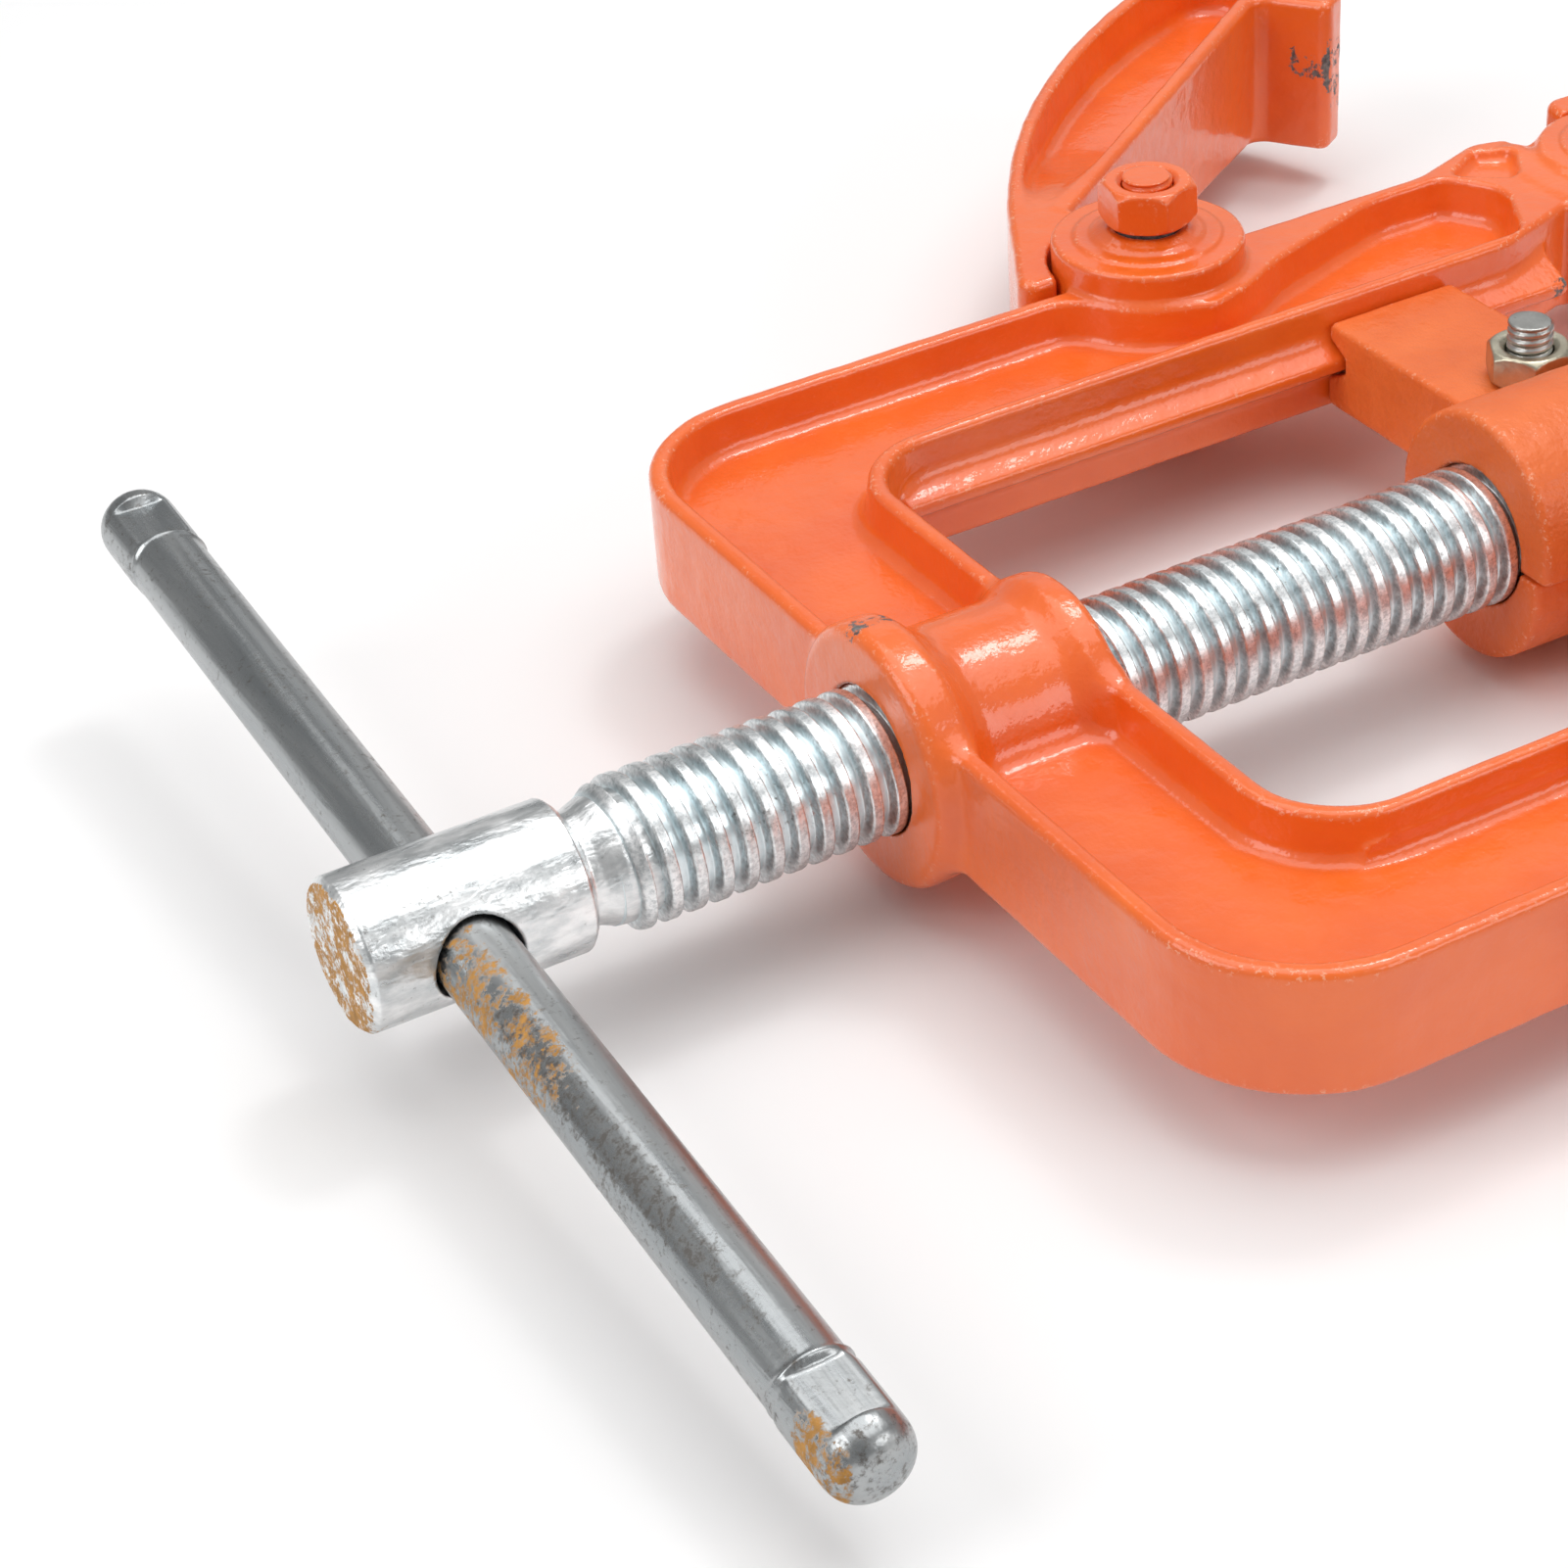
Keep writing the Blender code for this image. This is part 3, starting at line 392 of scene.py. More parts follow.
def set_field_normals(item, field):
    """Shade the mesh with the slope of its own field."""
    spots = vertex_array(item.data) / MM
    slope = np.zeros_like(spots)
    for axis in range(3):
        ahead, behind = spots.copy(), spots.copy()
        ahead[:, axis] += NORMAL_REACH
        behind[:, axis] -= NORMAL_REACH
        slope[:, axis] = field(*ahead.T) - field(*behind.T)
    slope /= np.linalg.norm(slope, axis=1)[:, None] + 1e-9
    item.data.normals_split_custom_set_from_vertices(slope.tolist())
    mark_edges(item.data, spots, slope)


def store(mesh, name, values):
    """Keep one number for the material at each point of a mesh."""
    layer = mesh.attributes.new(name, "FLOAT", "POINT")
    layer.data.foreach_set("value", values.astype(np.float32))


def mark_edges(mesh, spots, normals):
    """Keep how sharply the surface turns outward at each point, where the enamel gets painted glints in rough
    pale specks.
    """
    pairs = np.zeros(len(mesh.edges) * 2, np.int32)
    mesh.edges.foreach_get("vertices", pairs)
    first, second = pairs.reshape(-1, 2).T
    step = spots[second] - spots[first]
    turn = ((normals[second] - normals[first]) * step).sum(1) / ((step ** 2).sum(1) + 1e-9)
    total, count = np.zeros(len(spots)), np.full(len(spots), 1e-9)
    for ends in (first, second):
        np.add.at(total, ends, turn)
        np.add.at(count, ends, 1)
    store(mesh, "edge", smooth(total / count, *EDGE_TURN))


def sweep(name, rings):
    """A tube with closed ends through rings of points, each of the same count, in millimetres."""
    rings = np.asarray(rings, float)
    count, sides = rings.shape[:2]
    points = np.vstack([rings.reshape(-1, 3), rings[0].mean(0), rings[-1].mean(0)])
    first, last = count * sides, count * sides + 1
    here = np.arange(sides)
    after = (here + 1) % sides
    base = np.arange(count - 1)[:, None] * sides
    walls = np.stack([base + here, base + here + sides, base + after + sides, base + after], -1)
    end = (count - 1) * sides
    start_cap = np.stack([here, after, np.full(sides, first)], -1)
    end_cap = np.stack([end + after, end + here, np.full(sides, last)], -1)
    faces = walls.reshape(-1, 4).tolist() + start_cap.tolist() + end_cap.tolist()
    mesh = bpy.data.meshes.new(name)
    mesh.from_pydata((points * MM).tolist(), [], faces)
    mesh.validate()
    mesh.shade_smooth()
    return linked(name, mesh)


# Cast pieces

def on_both_sides(left):
    """The corners of a left half, followed by their mirror images."""
    return left + [(x, -y, radius) for x, y, radius in reversed(left)]


FRAME_OUTLINE = rounded_outline(on_both_sides([
    (CROSSBAR, WINDOW_HALF, INNER_CORNER),
    (RAIL_END - 32, WINDOW_HALF, 25),
    (RAIL_END, WINDOW_HALF + 10.5, 0),
    (RAIL_END, FRAME_HALF + 4, 3),
    (RAIL_END - 9, FRAME_HALF + 6.3, 9),
    (RAIL_END - 27, FRAME_HALF, 12),
    (0, FRAME_HALF, OUTER_CORNER),
]))
RECESS_OUTLINE = rounded_outline(on_both_sides([
    (CROSSBAR - RIM, WINDOW_HALF + 3.4, INNER_CORNER + 3.4),
    (RAIL_END - 26, WINDOW_HALF + 3.4, 6),
    (RAIL_END - 16.5, WINDOW_HALF + 21, 9),
    (RAIL_END - 24, FRAME_HALF - RIM, 6),
    (NEAR_PIVOT[0] + 55, FRAME_HALF - RIM, 30),
    (NEAR_PIVOT[0] + 1, NEAR_PIVOT[1] - 22.3, 0),
    (NEAR_PIVOT[0] - 15, FRAME_HALF - RIM, 0),
    (RIM, FRAME_HALF - RIM, OUTER_CORNER - RIM),
]))
HOLLOW_OUTLINE = rounded_outline([
    (RAIL_END - 22, FRAME_HALF - 4, 2),
    (RAIL_END - 10.5, FRAME_HALF + 2.6, 3),
    (RAIL_END - 2.5, FRAME_HALF - 2, 3),
    (RAIL_END - 10.5, FRAME_HALF - 14, 3),
])
BOSS_PROFILE = rounded_outline([
    (BOSS_FRONT, 0, 0), (CROSSBAR, 0, 0), (CROSSBAR, BOSS_LIP, 2), (CROSSBAR - 5.5, BOSS_LIP, 3),
    (CROSSBAR - 9.5, BOSS_BARREL, 5), (9.5, BOSS_BARREL, 6), (4.6, BOSS_FLANGE, 3.5),
    (BOSS_FRONT, BOSS_FLANGE, 2.8)], math.radians(15))


def ear(radial, z, top):
    """A round ear with a seat that steps up to its nut."""
    height = top
    for outer, inner, rise in SEAT_STEPS:
        height = height + rise * smooth(radial, outer, inner)
    return both(radial - EAR_RADIUS, np.abs(z) - height, 1.1)


def frame_field(x, y, z):
    """The U-shaped frame: recessed rails, boss, ears, hollows, tongues, slots and bores."""
    y, z = np.abs(y), np.abs(z)
    plan = outline_distance(x, y, FRAME_OUTLINE)
    solid = slab(plan, z, FRAME_TOP, FRAME_EDGE)
    near = np.hypot(x - NEAR_PIVOT[0], y - NEAR_PIVOT[1])
    far = np.hypot(x - FAR_PIVOT[0], y - FAR_PIVOT[1])
    recess = outline_distance(x, y, RECESS_OUTLINE)
    recess = both(recess, EAR_FOOT + SLOT_ROOM - near, 7)
    pocket = both(recess + POCKET_DRAFT * (FRAME_TOP - z), WEB_HALF - z, POCKET_FILLET)
    solid = cut(solid, pocket, POCKET_EDGE)
    boss = outline_distance(x, np.hypot(y, z), BOSS_PROFILE)
    solid = join(solid, boss, BOSS_FILLET)
    foot = both(near - EAR_FOOT, y - NEAR_PIVOT[1] + 6, 2)
    solid = join(solid, slab(foot, z, FRAME_TOP - FOOT_DROP, 1), 2)
    solid = join(solid, ear(near, z, NEAR_EAR_TOP), 1.6)
    neck = both(np.abs(x - FAR_PIVOT[0] + 14) - 14, np.abs(y - FAR_PIVOT[1] + 0.5) - 17.6, 4)
    neck = np.minimum(neck, far - EAR_FOOT)
    solid = join(solid, slab(neck, z, FRAME_TOP - FOOT_DROP, 1.5), 2.5)
    hollow = outline_distance(x, y, HOLLOW_OUTLINE) + 0.4 * (FRAME_TOP - z)
    solid = cut(solid, both(hollow, FRAME_TOP - 2.4 - z, 1.5), 1)
    solid = join(solid, ear(far, z, FAR_EAR_TOP), 2.4)
    reach = WINDOW_HALF - y
    tongue = both(dovetail(z, reach), reach - TONGUE_REACH, 0.8)
    tongue = both(tongue, between(x, *TONGUE_SPAN), 0.8)
    tongue = np.maximum(tongue, -reach - 3)
    solid = join(solid, tongue, 2.2)
    mouth = both(np.abs(x - NEAR_PIVOT[0]) - SLOT_MOUTH, NEAR_PIVOT[1] - y, 0.5)
    slot = np.minimum(near - EYE_RADIUS - SLOT_ROOM, mouth)
    slot = np.minimum(slot, FAR_PIVOT[0] - EAR_FOOT - 3 - x)
    solid = cut(solid, np.maximum(slot, z - SLOT_HALF), 0.9)
    solid = cut(solid, np.minimum(near, far) - PIVOT_BORE, 0.5)
    solid = cut(solid, np.maximum(np.hypot(y, z) - SCREW_BORE, np.abs(x - 20) - 60), 0.25)
    return solid + CAST_UNEVEN * cast_wave(x, y, z)


NEAR_HEEL = [(-24, 19.6, 3.5), (-13, 11.2, 0)]
FAR_HEEL = [(*HOOK_HEEL, 4), (-10, 10, 0)]


def hook_outline(heel):
    """A hook from its toe round its crown to its heel and back along its leg."""
    return rounded_outline([
        (HOOK_LEG, HOOK_TIP, 3),
        (HOOK_TOE_BACK, HOOK_TIP, 5.5),
        (*HOOK_SHOULDER, 20),
        (*HOOK_CROWN, HOOK_CROWN_RADIUS),
        *heel,
        (10, 10, 0),
        (14, HOOK_OFFSET, 0),
        (HOOK_LEG, HOOK_OFFSET, 4),
    ], math.radians(3))


HOOK_RECESS = rounded_outline([
    (141.6, HOOK_OFFSET + HOOK_RIM, 4),
    (146.9, 44.9, 10),
    (64.1, 60.6, 191),
    (0, 28.2, 0),
    (0, 10, 0),
    (14, 10, 0),
    (14, HOOK_OFFSET + HOOK_RIM, 1),
], math.radians(3))


def hook_field(heel):
    """A hook's field, in its own frame: along its leg, across it to the crown, and up."""
    outline = hook_outline(heel)

    def field(s, n, z):
        z = np.abs(z)
        top = HOOK_HEEL_TOP + HOOK_GROWTH * s
        radial = np.hypot(s, n)
        solid = both(outline_distance(s, n, outline), z - top, HOOK_EDGE)
        recess = outline_distance(s, n, HOOK_RECESS)
        floor = HOOK_WEB_HALF + (top + 0.5 - HOOK_WEB_HALF) * smooth(radial, *HOOK_RAMP)
        pocket = both(recess + HOOK_DRAFT * (top - z), floor - z, 3)
        solid = cut(solid, pocket, 1.2)
        solid = join(solid, slab(radial - EYE_RADIUS, z, HOOK_EYE_HALF, 0.8), 0.5)
        solid = cut(solid, np.maximum(radial - EAR_ROOM, HOOK_EYE_HALF - z), 0.8)
        solid = cut(solid, radial - PIVOT_BORE, 0.5)
        return solid + CAST_UNEVEN * cast_wave(s + 31, n, z)
    return field


def housing(x, y, z, radius, crown):
    """The round back of the slider over the screw, with straight sides down to its seam."""
    sign = 1 if crown > 0 else -1
    middle = crown - sign * radius
    height = np.maximum(sign * (z - middle), 0)
    radial = np.hypot(y, height) - radius
    return both(radial, between(x, *SLIDER_SPAN), 1.6)


def slider_holes(solid, x, y, z):
    """Half of the slider with its bolt holes and the room for the screw cut out."""
    bolt = np.hypot(x - SLIDER_BOLT_SPOT[0], y - SLIDER_BOLT_SPOT[1])
    solid = cut(solid, bolt - SLIDER_BOLT_HOLE, 0.4)
    screw = np.maximum(np.hypot(y, z) - SCREW_BORE, x - SCREW_ROOM_END)
    return cut(solid, screw, 0.25) + SLIDER_UNEVEN * cast_wave(x + 13, y, z)


def slider_body_field(x, y, z):
    """The upper half: a housing over the screw, and wings grooved for the tongues."""
    y = np.abs(y)
    wing = both(between(x, *WING_SPAN), between(z, WING_BOTTOM, WING_TOP), 1.4)
    wing = both(wing, y - WING_HALF, 1.2)
    room = np.maximum(housing(x, y, z, CAP_RADIUS + 0.3, CAP_BOTTOM - 0.3), z - SEAM - 0.3)
    wing = cut(wing, room, 0.6)
    crown = both(housing(x, y, z, HOUSING_RADIUS, HOUSING_TOP), SEAM + 0.5 - z, 0.7)
    solid = join(wing, crown, 2.4)
    reach = WING_HALF + 0.3 - y
    groove = np.maximum(dovetail(z, reach, 0.7), reach - TONGUE_REACH - 0.5)
    return slider_holes(cut(solid, groove, 0.5), x, y, z)


def slider_cap_field(x, y, z):
    """The lower half, with ears under the wings."""
    y = np.abs(y)
    crown = both(housing(x, y, z, CAP_RADIUS, CAP_BOTTOM), z - SEAM + 0.2, 0.7)
    upright = between(z, CAP_EAR_BOTTOM, WING_BOTTOM - 0.3)
    ears = both(between(x, *WING_SPAN) + 0.3, upright, 1.4)
    ears = both(ears, y - SLIDER_BOLT_SPOT[1] - 8.5, 1.4)
    return slider_holes(join(crown, ears, 2.2), x, y, z)


# Steel pieces

HEAD_PROFILE = np.array([
    (HEAD_SPAN[0], 0), (THREAD_SPAN[0] + 11, 0), (THREAD_SPAN[0] + 11, NECK_RADIUS - 1),
    (THREAD_SPAN[0] + 8, NECK_RADIUS + 0.2), (HEAD_SPAN[1] + 9, NECK_RADIUS + 0.5),
    (HEAD_SPAN[1] + 7, NECK_RADIUS + 0.5), (HEAD_SPAN[1] + 5, NECK_RADIUS),
    (HEAD_SPAN[1] + 3, NECK_RADIUS - 0.8), (HEAD_SPAN[1] + 1, NECK_RADIUS - 1.1),
    (HEAD_SPAN[1], NECK_RADIUS - 0.6), (HEAD_SPAN[1], HEAD_RADIUS - 1.3), (HEAD_SPAN[1] - 1.2, HEAD_RADIUS),
    (HEAD_SPAN[0] + 1.3, HEAD_RADIUS), (HEAD_SPAN[0], HEAD_RADIUS - 1.3)])


def head_field(x, y, z):
    """The screw's head and neck, drilled for the bar."""
    solid = outline_distance(x, np.hypot(y, z), HEAD_PROFILE)
    across = -y * math.sin(BAR_TILT) + z * math.cos(BAR_TILT)
    hole = np.hypot(x - BAR_X, across) - BAR_HOLE
    return cut(solid, hole, 0.7) + 0.03 * cast_wave(2 * x, 2 * y, 2 * z)


def thread_rings():
    """Rings of the screw's trapezoid thread, each one short step further along."""
    start, end = THREAD_SPAN
    count = int((end - start) / THREAD_PITCH * THREAD_STEPS)
    angles = np.linspace(0, 2 * math.pi, THREAD_SIDES, endpoint=False)
    along = np.linspace(start, end, count)[:, None]
    phase = (along / THREAD_PITCH - angles[None, :] / (2 * math.pi)) % 1.0
    land = smooth(np.abs(phase - 0.5) * 2, *THREAD_FLANK)
    fade = smooth(along, start, start + THREAD_PITCH) * 0.9 + 0.1
    radius = THREAD_RADIUS - THREAD_DEPTH + THREAD_DEPTH * land * fade
    return np.stack([np.broadcast_to(along, radius.shape),
                     radius * np.cos(angles), radius * np.sin(angles)], -1)


def bar_section(along):
    """One ring of the bar: round, then pressed flat above and below past a ridge, and domed at its end."""
    left = np.array(BAR_HALF - abs(along))
    angles = np.linspace(0, 2 * math.pi, BAR_SIDES, endpoint=False)
    pressed = float(smooth(left, 20.4, 19.2) * smooth(left, 6.4, 7.2))
    flat = BAR_FLAT / np.maximum(np.abs(np.sin(angles)), 0.1)
    full = BAR_RADIUS + BAR_SWELL * float(smooth(left, 21, 18))
    radius = full + (np.minimum(flat, full) - full) * pressed
    ridge = np.exp(-((left - BAR_RIDGE - 0.5 * np.sin(2 * angles + 1)) / 0.55) ** 2)
    radius = radius + 0.5 * ridge * (0.7 + 0.3 * np.sin(3 * angles + 0.7))
    inward = max(0.0, 1 - float(left) / DOME_LENGTH)
    dome = max(0.0, 1 - inward ** DOME_POWER) ** (1 / DOME_POWER)
    radius = radius * (0.02 + 0.98 * dome)
    return np.stack([radius * np.cos(angles), np.full(BAR_SIDES, along), radius * np.sin(angles)], -1)


def build_bar():
    """The bar through the head, with its rings closest together near its ends."""
    ends = np.concatenate([7 * np.linspace(0, 1, 26) ** 1.6, np.linspace(7.4, 26, 48)])
    body = np.linspace(27, BAR_HALF, 90)
    left = np.concatenate([ends, body])
    places = np.concatenate([-BAR_HALF + left, (BAR_HALF - left)[::-1][1:]])
    bar = sweep("bar", [bar_section(along) for along in places])
    bar.data.transform(Matrix.Translation((BAR_X * MM, 0, 0)) @ Matrix.Rotation(BAR_TILT, 4, "X"))
    return bar


def hex_distance(x, y, flats):
    """Distance to a hexagon with flats that face along Y."""
    x, y = np.abs(x), np.abs(y)
    slanted = x * math.cos(math.radians(30)) + y * 0.5
    return np.maximum(y, slanted) - flats / 2


def nut_field(flats, height, bore):
    """A hexagon nut on Z = 0, with chamfered corners."""
    def field(x, y, z):
        radial = np.hypot(x, y)
        solid = both(hex_distance(x, y, flats), between(z, 0, height), 0.35)
        top = (radial - flats / 2 + 0.2 + (z - height) * 1.1) / 1.49
        bottom = (radial - flats / 2 + 0.1 - z * 1.1) / 1.49
        solid = both(both(solid, top, 0.3), bottom, 0.3)
        mouth = (radial - bore - 1.1 + np.minimum(z, height - z) * 1.2) / 1.56
        return cut(solid, np.minimum(radial - bore, mouth), 0.2)
    return field


def bolt_field(flats, head, shank, shank_length, thread, length):
    """A bolt with its head below Z = 0 and a shoulder under its thread."""
    def field(x, y, z):
        radial = np.hypot(x, y)
        cap = both(hex_distance(x, y, flats), between(z, -head, 0), 0.35)
        cap = both(cap, (radial - flats / 2 - 0.2 - (z + head) * 1.7) / 1.97, 0.3)
        stem = both(radial - shank, np.maximum(z - shank_length, -head / 2 - z), 0.4)
        angle = np.arctan2(y, x) / (2 * math.pi)
        phase = (z / BOLT_PITCH - angle) % 1.0
        groove = BOLT_GROOVE * smooth(np.abs(phase - 0.5), 0.22, 0.45)
        tail = both(radial - thread + groove, np.maximum(z - length, -z), 0.5)
        return np.minimum(np.minimum(cap, stem), tail)
    return field


# Materials

# Painted glint: the pale colour mixed into the enamel in specks along sharp edges.
EDGE_GLINT = (1.0, 0.62, 0.42)
BARE_DARK = (0.05, 0.05, 0.05)
BARE_LIGHT = (0.22, 0.21, 0.20)
MOTTLE = (0.52, 0.55, 0.56)
VALLEY = (0.80, 0.90, 0.93)
# Painted shade: the dark colour laid on the thread's flanks.
FLANK_SHADE = (0.20, 0.23, 0.24)
GRIME = (0.16, 0.15, 0.14)
RUST = (0.55, 0.27, 0.06)
RUST_DARK = tuple(0.62 * channel for channel in RUST)
PAINT_IOR = 1.5
GLOSS_ROUGHNESS = 0.05


class Nodes:
    """A short way to write a material's node tree."""

    def __init__(self, name):
        self.material = bpy.data.materials.new(name)
        self.material.use_nodes = True
        self.tree = self.material.node_tree
        self.shader = self.tree.nodes["Principled BSDF"]
        self.places = self.tree.nodes.new("ShaderNodeTexCoord").outputs["Object"]

    def link(self, source, target):
        self.tree.links.new(source, target)

    def put(self, target, value):
        if isinstance(value, bpy.types.NodeSocket):
            self.link(value, target)
        else:
            target.default_value = value

    def noise(self, scale, detail=4.0, rough=0.55, stretch=None):
        node = self.tree.nodes.new("ShaderNodeTexNoise")
        node.inputs["Scale"].default_value = scale
        node.inputs["Detail"].default_value = detail
        node.inputs["Roughness"].default_value = rough
        vector = self.places
        if stretch:
            mapping = self.tree.nodes.new("ShaderNodeMapping")
            mapping.inputs["Scale"].default_value = stretch
            self.link(self.places, mapping.inputs["Vector"])
            vector = mapping.outputs["Vector"]
        self.link(vector, node.inputs["Vector"])
        return node.outputs["Fac"]

    def range(self, value, low, high, to_low=0.0, to_high=1.0):
        node = self.tree.nodes.new("ShaderNodeMapRange")
        node.clamp = True
        ends = {"From Min": low, "From Max": high, "To Min": to_low, "To Max": to_high}
        for key, number in ends.items():
            node.inputs[key].default_value = number
        self.link(value, node.inputs["Value"])
        return node.outputs["Result"]

    def math(self, kind, first, second):
        node = self.tree.nodes.new("ShaderNodeMath")
        node.operation = kind
        self.put(node.inputs[0], first)
        self.put(node.inputs[1], second)
        return node.outputs["Value"]

    def mix(self, share, first, second):
        node = self.tree.nodes.new("ShaderNodeMix")
        node.data_type = "RGBA"
        colours = [socket for socket in node.inputs if socket.type == "RGBA"]
        self.put(node.inputs["Factor"], share)
        for socket, value in zip(colours, (first, second)):
            self.put(socket, value if isinstance(value, bpy.types.NodeSocket) else (*value, 1))
        return [socket for socket in node.outputs if socket.type == "RGBA"][0]

    def attribute(self, name):
        node = self.tree.nodes.new("ShaderNodeAttribute")
        node.attribute_name = name
        return node.outputs["Fac"]

    def bump(self, layers):
        """Layers of (height, strength, distance in metres), from the coarsest."""
        normal = None
        for height, strength, distance in layers:
            node = self.tree.nodes.new("ShaderNodeBump")
            node.inputs["Strength"].default_value = strength
            node.inputs["Distance"].default_value = distance
            self.link(height, node.inputs["Height"])
            if normal is not None:
                self.link(normal, node.inputs["Normal"])
            normal = node.outputs["Normal"]
        self.link(normal, self.shader.inputs["Normal"])
        self.link(normal, self.shader.inputs["Coat Normal"])


def enamel_material(name, colour, deep, roughness, peel, coat):
    """Thick orange paint: slow shifts of tone, orange peel, a clear gloss, painted glints as rough pale
    specks along its sharp edges, and bare steel where it is chipped and, round the pivot bolts' shoulders, as
    painted shade."""
    nodes = Nodes(name)
    slow = nodes.range(nodes.noise(38, 3), 0.35, 0.68)
    fine = nodes.noise(900, 3, 0.5)
    coarse = nodes.noise(260, 3, 0.5)
    runs = nodes.noise(70, 2, 0.5, (1, 1, 0.25))
    # Painted glints: pale specks along sharp edges, also bumped.
    edge_glints = nodes.range(nodes.noise(1000, 4, 0.65), 0.57, 0.63)
    edge_glints = nodes.math("MULTIPLY", edge_glints, nodes.attribute("edge"))
    # The wear attribute also carries painted shade: dark bare steel on the pivot bolts' shoulders under the
    # nuts.
    chipped = nodes.math("ADD", nodes.noise(420, 6, 0.7), nodes.attribute("wear"))
    bare = nodes.range(chipped, 0.90, 0.95)
    paint = nodes.mix(nodes.range(edge_glints, 0, 1, 0, 0.42), nodes.mix(slow, deep, colour), EDGE_GLINT)
    steel = nodes.mix(nodes.range(fine, 0.3, 0.7), BARE_DARK, BARE_LIGHT)
    nodes.link(nodes.mix(bare, paint, steel), nodes.shader.inputs["Base Color"])
    rough = nodes.range(coarse, 0.3, 0.7, roughness - 0.06, roughness + 0.08)
    rough = nodes.math("ADD", rough, nodes.range(bare, 0, 1, 0, 0.15))
    nodes.link(rough, nodes.shader.inputs["Roughness"])
    nodes.link(nodes.range(bare, 0, 1, coat, 0), nodes.shader.inputs["Coat Weight"])
    nodes.shader.inputs["IOR"].default_value = PAINT_IOR
    nodes.shader.inputs["Coat Roughness"].default_value = GLOSS_ROUGHNESS
    nodes.bump([
        (runs, 0.35 * peel, 0.0015),
        (coarse, 0.40 * peel, 0.0008),
        (fine, 0.5 * peel, 0.00025),
        (edge_glints, 0.2, 0.0003),
        (bare, 0.4, -0.0004),
    ])
    return nodes.material


def zinc_material(name, colour, dark, roughness, streak, grime=0.62, mottle=0.0, hammer=1.0,
                  scale=120):
    """Bright zinc plate, brushed one way, with specks of grime, and rust where the wear attribute lets it.

    On a thread the crests are mottled, the flanks darkened with painted shade and the valleys a pale blue
    grey.
    """
    nodes = Nodes(name)
    streaks = nodes.noise(scale, 5, 0.6, streak)
    steel = nodes.mix(nodes.range(streaks, 0.35, 0.65), dark, colour)
    grain = nodes.noise(420, 5, 0.7)
    pits = nodes.range(nodes.noise(1000, 5, 0.75), 0.40, 0.58, mottle, 0)
    steel = nodes.mix(pits, steel, MOTTLE)
    valley = nodes.attribute("valley")
    # Painted shade on the thread's flanks, strongest between crest and valley.
    flank_shade = nodes.math("MULTIPLY", valley, nodes.range(valley, 0, 1, 2.0, 0))
    steel = nodes.mix(nodes.range(valley, 0.3, 1, 0, 0.9), steel, VALLEY)
    flank_shade = nodes.math("MULTIPLY", flank_shade, nodes.range(grain, 0.3, 0.6))
    steel = nodes.mix(flank_shade, steel, FLANK_SHADE)
    spread = nodes.range(nodes.noise(60, 3, 0.6), 0.3, 0.7, -0.08, 0.08)
    spread = nodes.math("ADD", spread, nodes.attribute("soot"))
    specks = nodes.math("ADD", nodes.noise(700, 5, 0.75), spread)
    specks = nodes.range(specks, grime, grime + 0.16)
    steel = nodes.mix(specks, steel, GRIME)
    blotches = nodes.math("MULTIPLY", nodes.noise(190, 8, 0.75), 0.6)
    flecks = nodes.math("MULTIPLY", nodes.noise(800, 6, 0.75), 0.4)
    worn = nodes.math("ADD", nodes.math("ADD", blotches, flecks), nodes.attribute("wear"))
    mask = nodes.range(worn, 0.83, 0.89)
    shade = nodes.mix(nodes.range(grain, 0.35, 0.65), RUST_DARK, RUST)
    nodes.link(nodes.mix(mask, steel, shade), nodes.shader.inputs["Base Color"])
    nodes.link(nodes.range(mask, 0, 1, 1, 0), nodes.shader.inputs["Metallic"])
    rough = nodes.range(streaks, 0.3, 0.7, roughness - 0.06, roughness + 0.10)
    rough = nodes.math("ADD", rough, nodes.range(mask, 0, 1, 0, 0.45))
    rough = nodes.math("ADD", rough, nodes.range(specks, 0, 1, 0, 0.2))
    nodes.link(rough, nodes.shader.inputs["Roughness"])
    dents = nodes.noise(230, 3, 0.6, streak)
    nodes.bump([
        (dents, 0.40 * hammer, 0.0006),
        (streaks, 0.20 * hammer, 0.0003),
        (grain, 0.20 * hammer, 0.0002),
        (mask, 0.25, 0.0002),
    ])
    return nodes.material


ENAMEL = enamel_material(
    "enamel", (0.90, 0.155, 0.013), (0.82, 0.122, 0.009), roughness=0.36, peel=0.6, coat=0.75)
DRY_ENAMEL = enamel_material(
    "dry_enamel", (0.86, 0.180, 0.032), (0.74, 0.130, 0.018), roughness=0.48, peel=1.3, coat=0.2)
HEAD_ZINC = zinc_material(
    "head_zinc", (0.98, 0.99, 0.99), (0.60, 0.63, 0.64), 0.30, (0.45, 1, 1), hammer=1.9, scale=260)
BAR_ZINC = zinc_material(
    "bar_zinc", (0.47, 0.48, 0.48), (0.33, 0.35, 0.36), 0.27, (1, 0.06, 1), grime=0.56)
THREAD_ZINC = zinc_material(
    "thread_zinc", (1.0, 1.0, 1.0), (0.86, 0.90, 0.91), 0.33, (1, 0.3, 0.3), mottle=0.8, hammer=1.2)
BOLT_ZINC = zinc_material("bolt_zinc", (0.52, 0.52, 0.50), (0.36, 0.36, 0.34), 0.32, (1, 1, 1))
YELLOW_ZINC = zinc_material("yellow_zinc", (0.62, 0.58, 0.46), (0.44, 0.40, 0.30), 0.32, (1, 1, 1))
BRONZE = zinc_material("bronze", (0.60, 0.42, 0.20), (0.45, 0.30, 0.14), 0.35, (1, 1, 1))


# Putting the pieces on their bodies

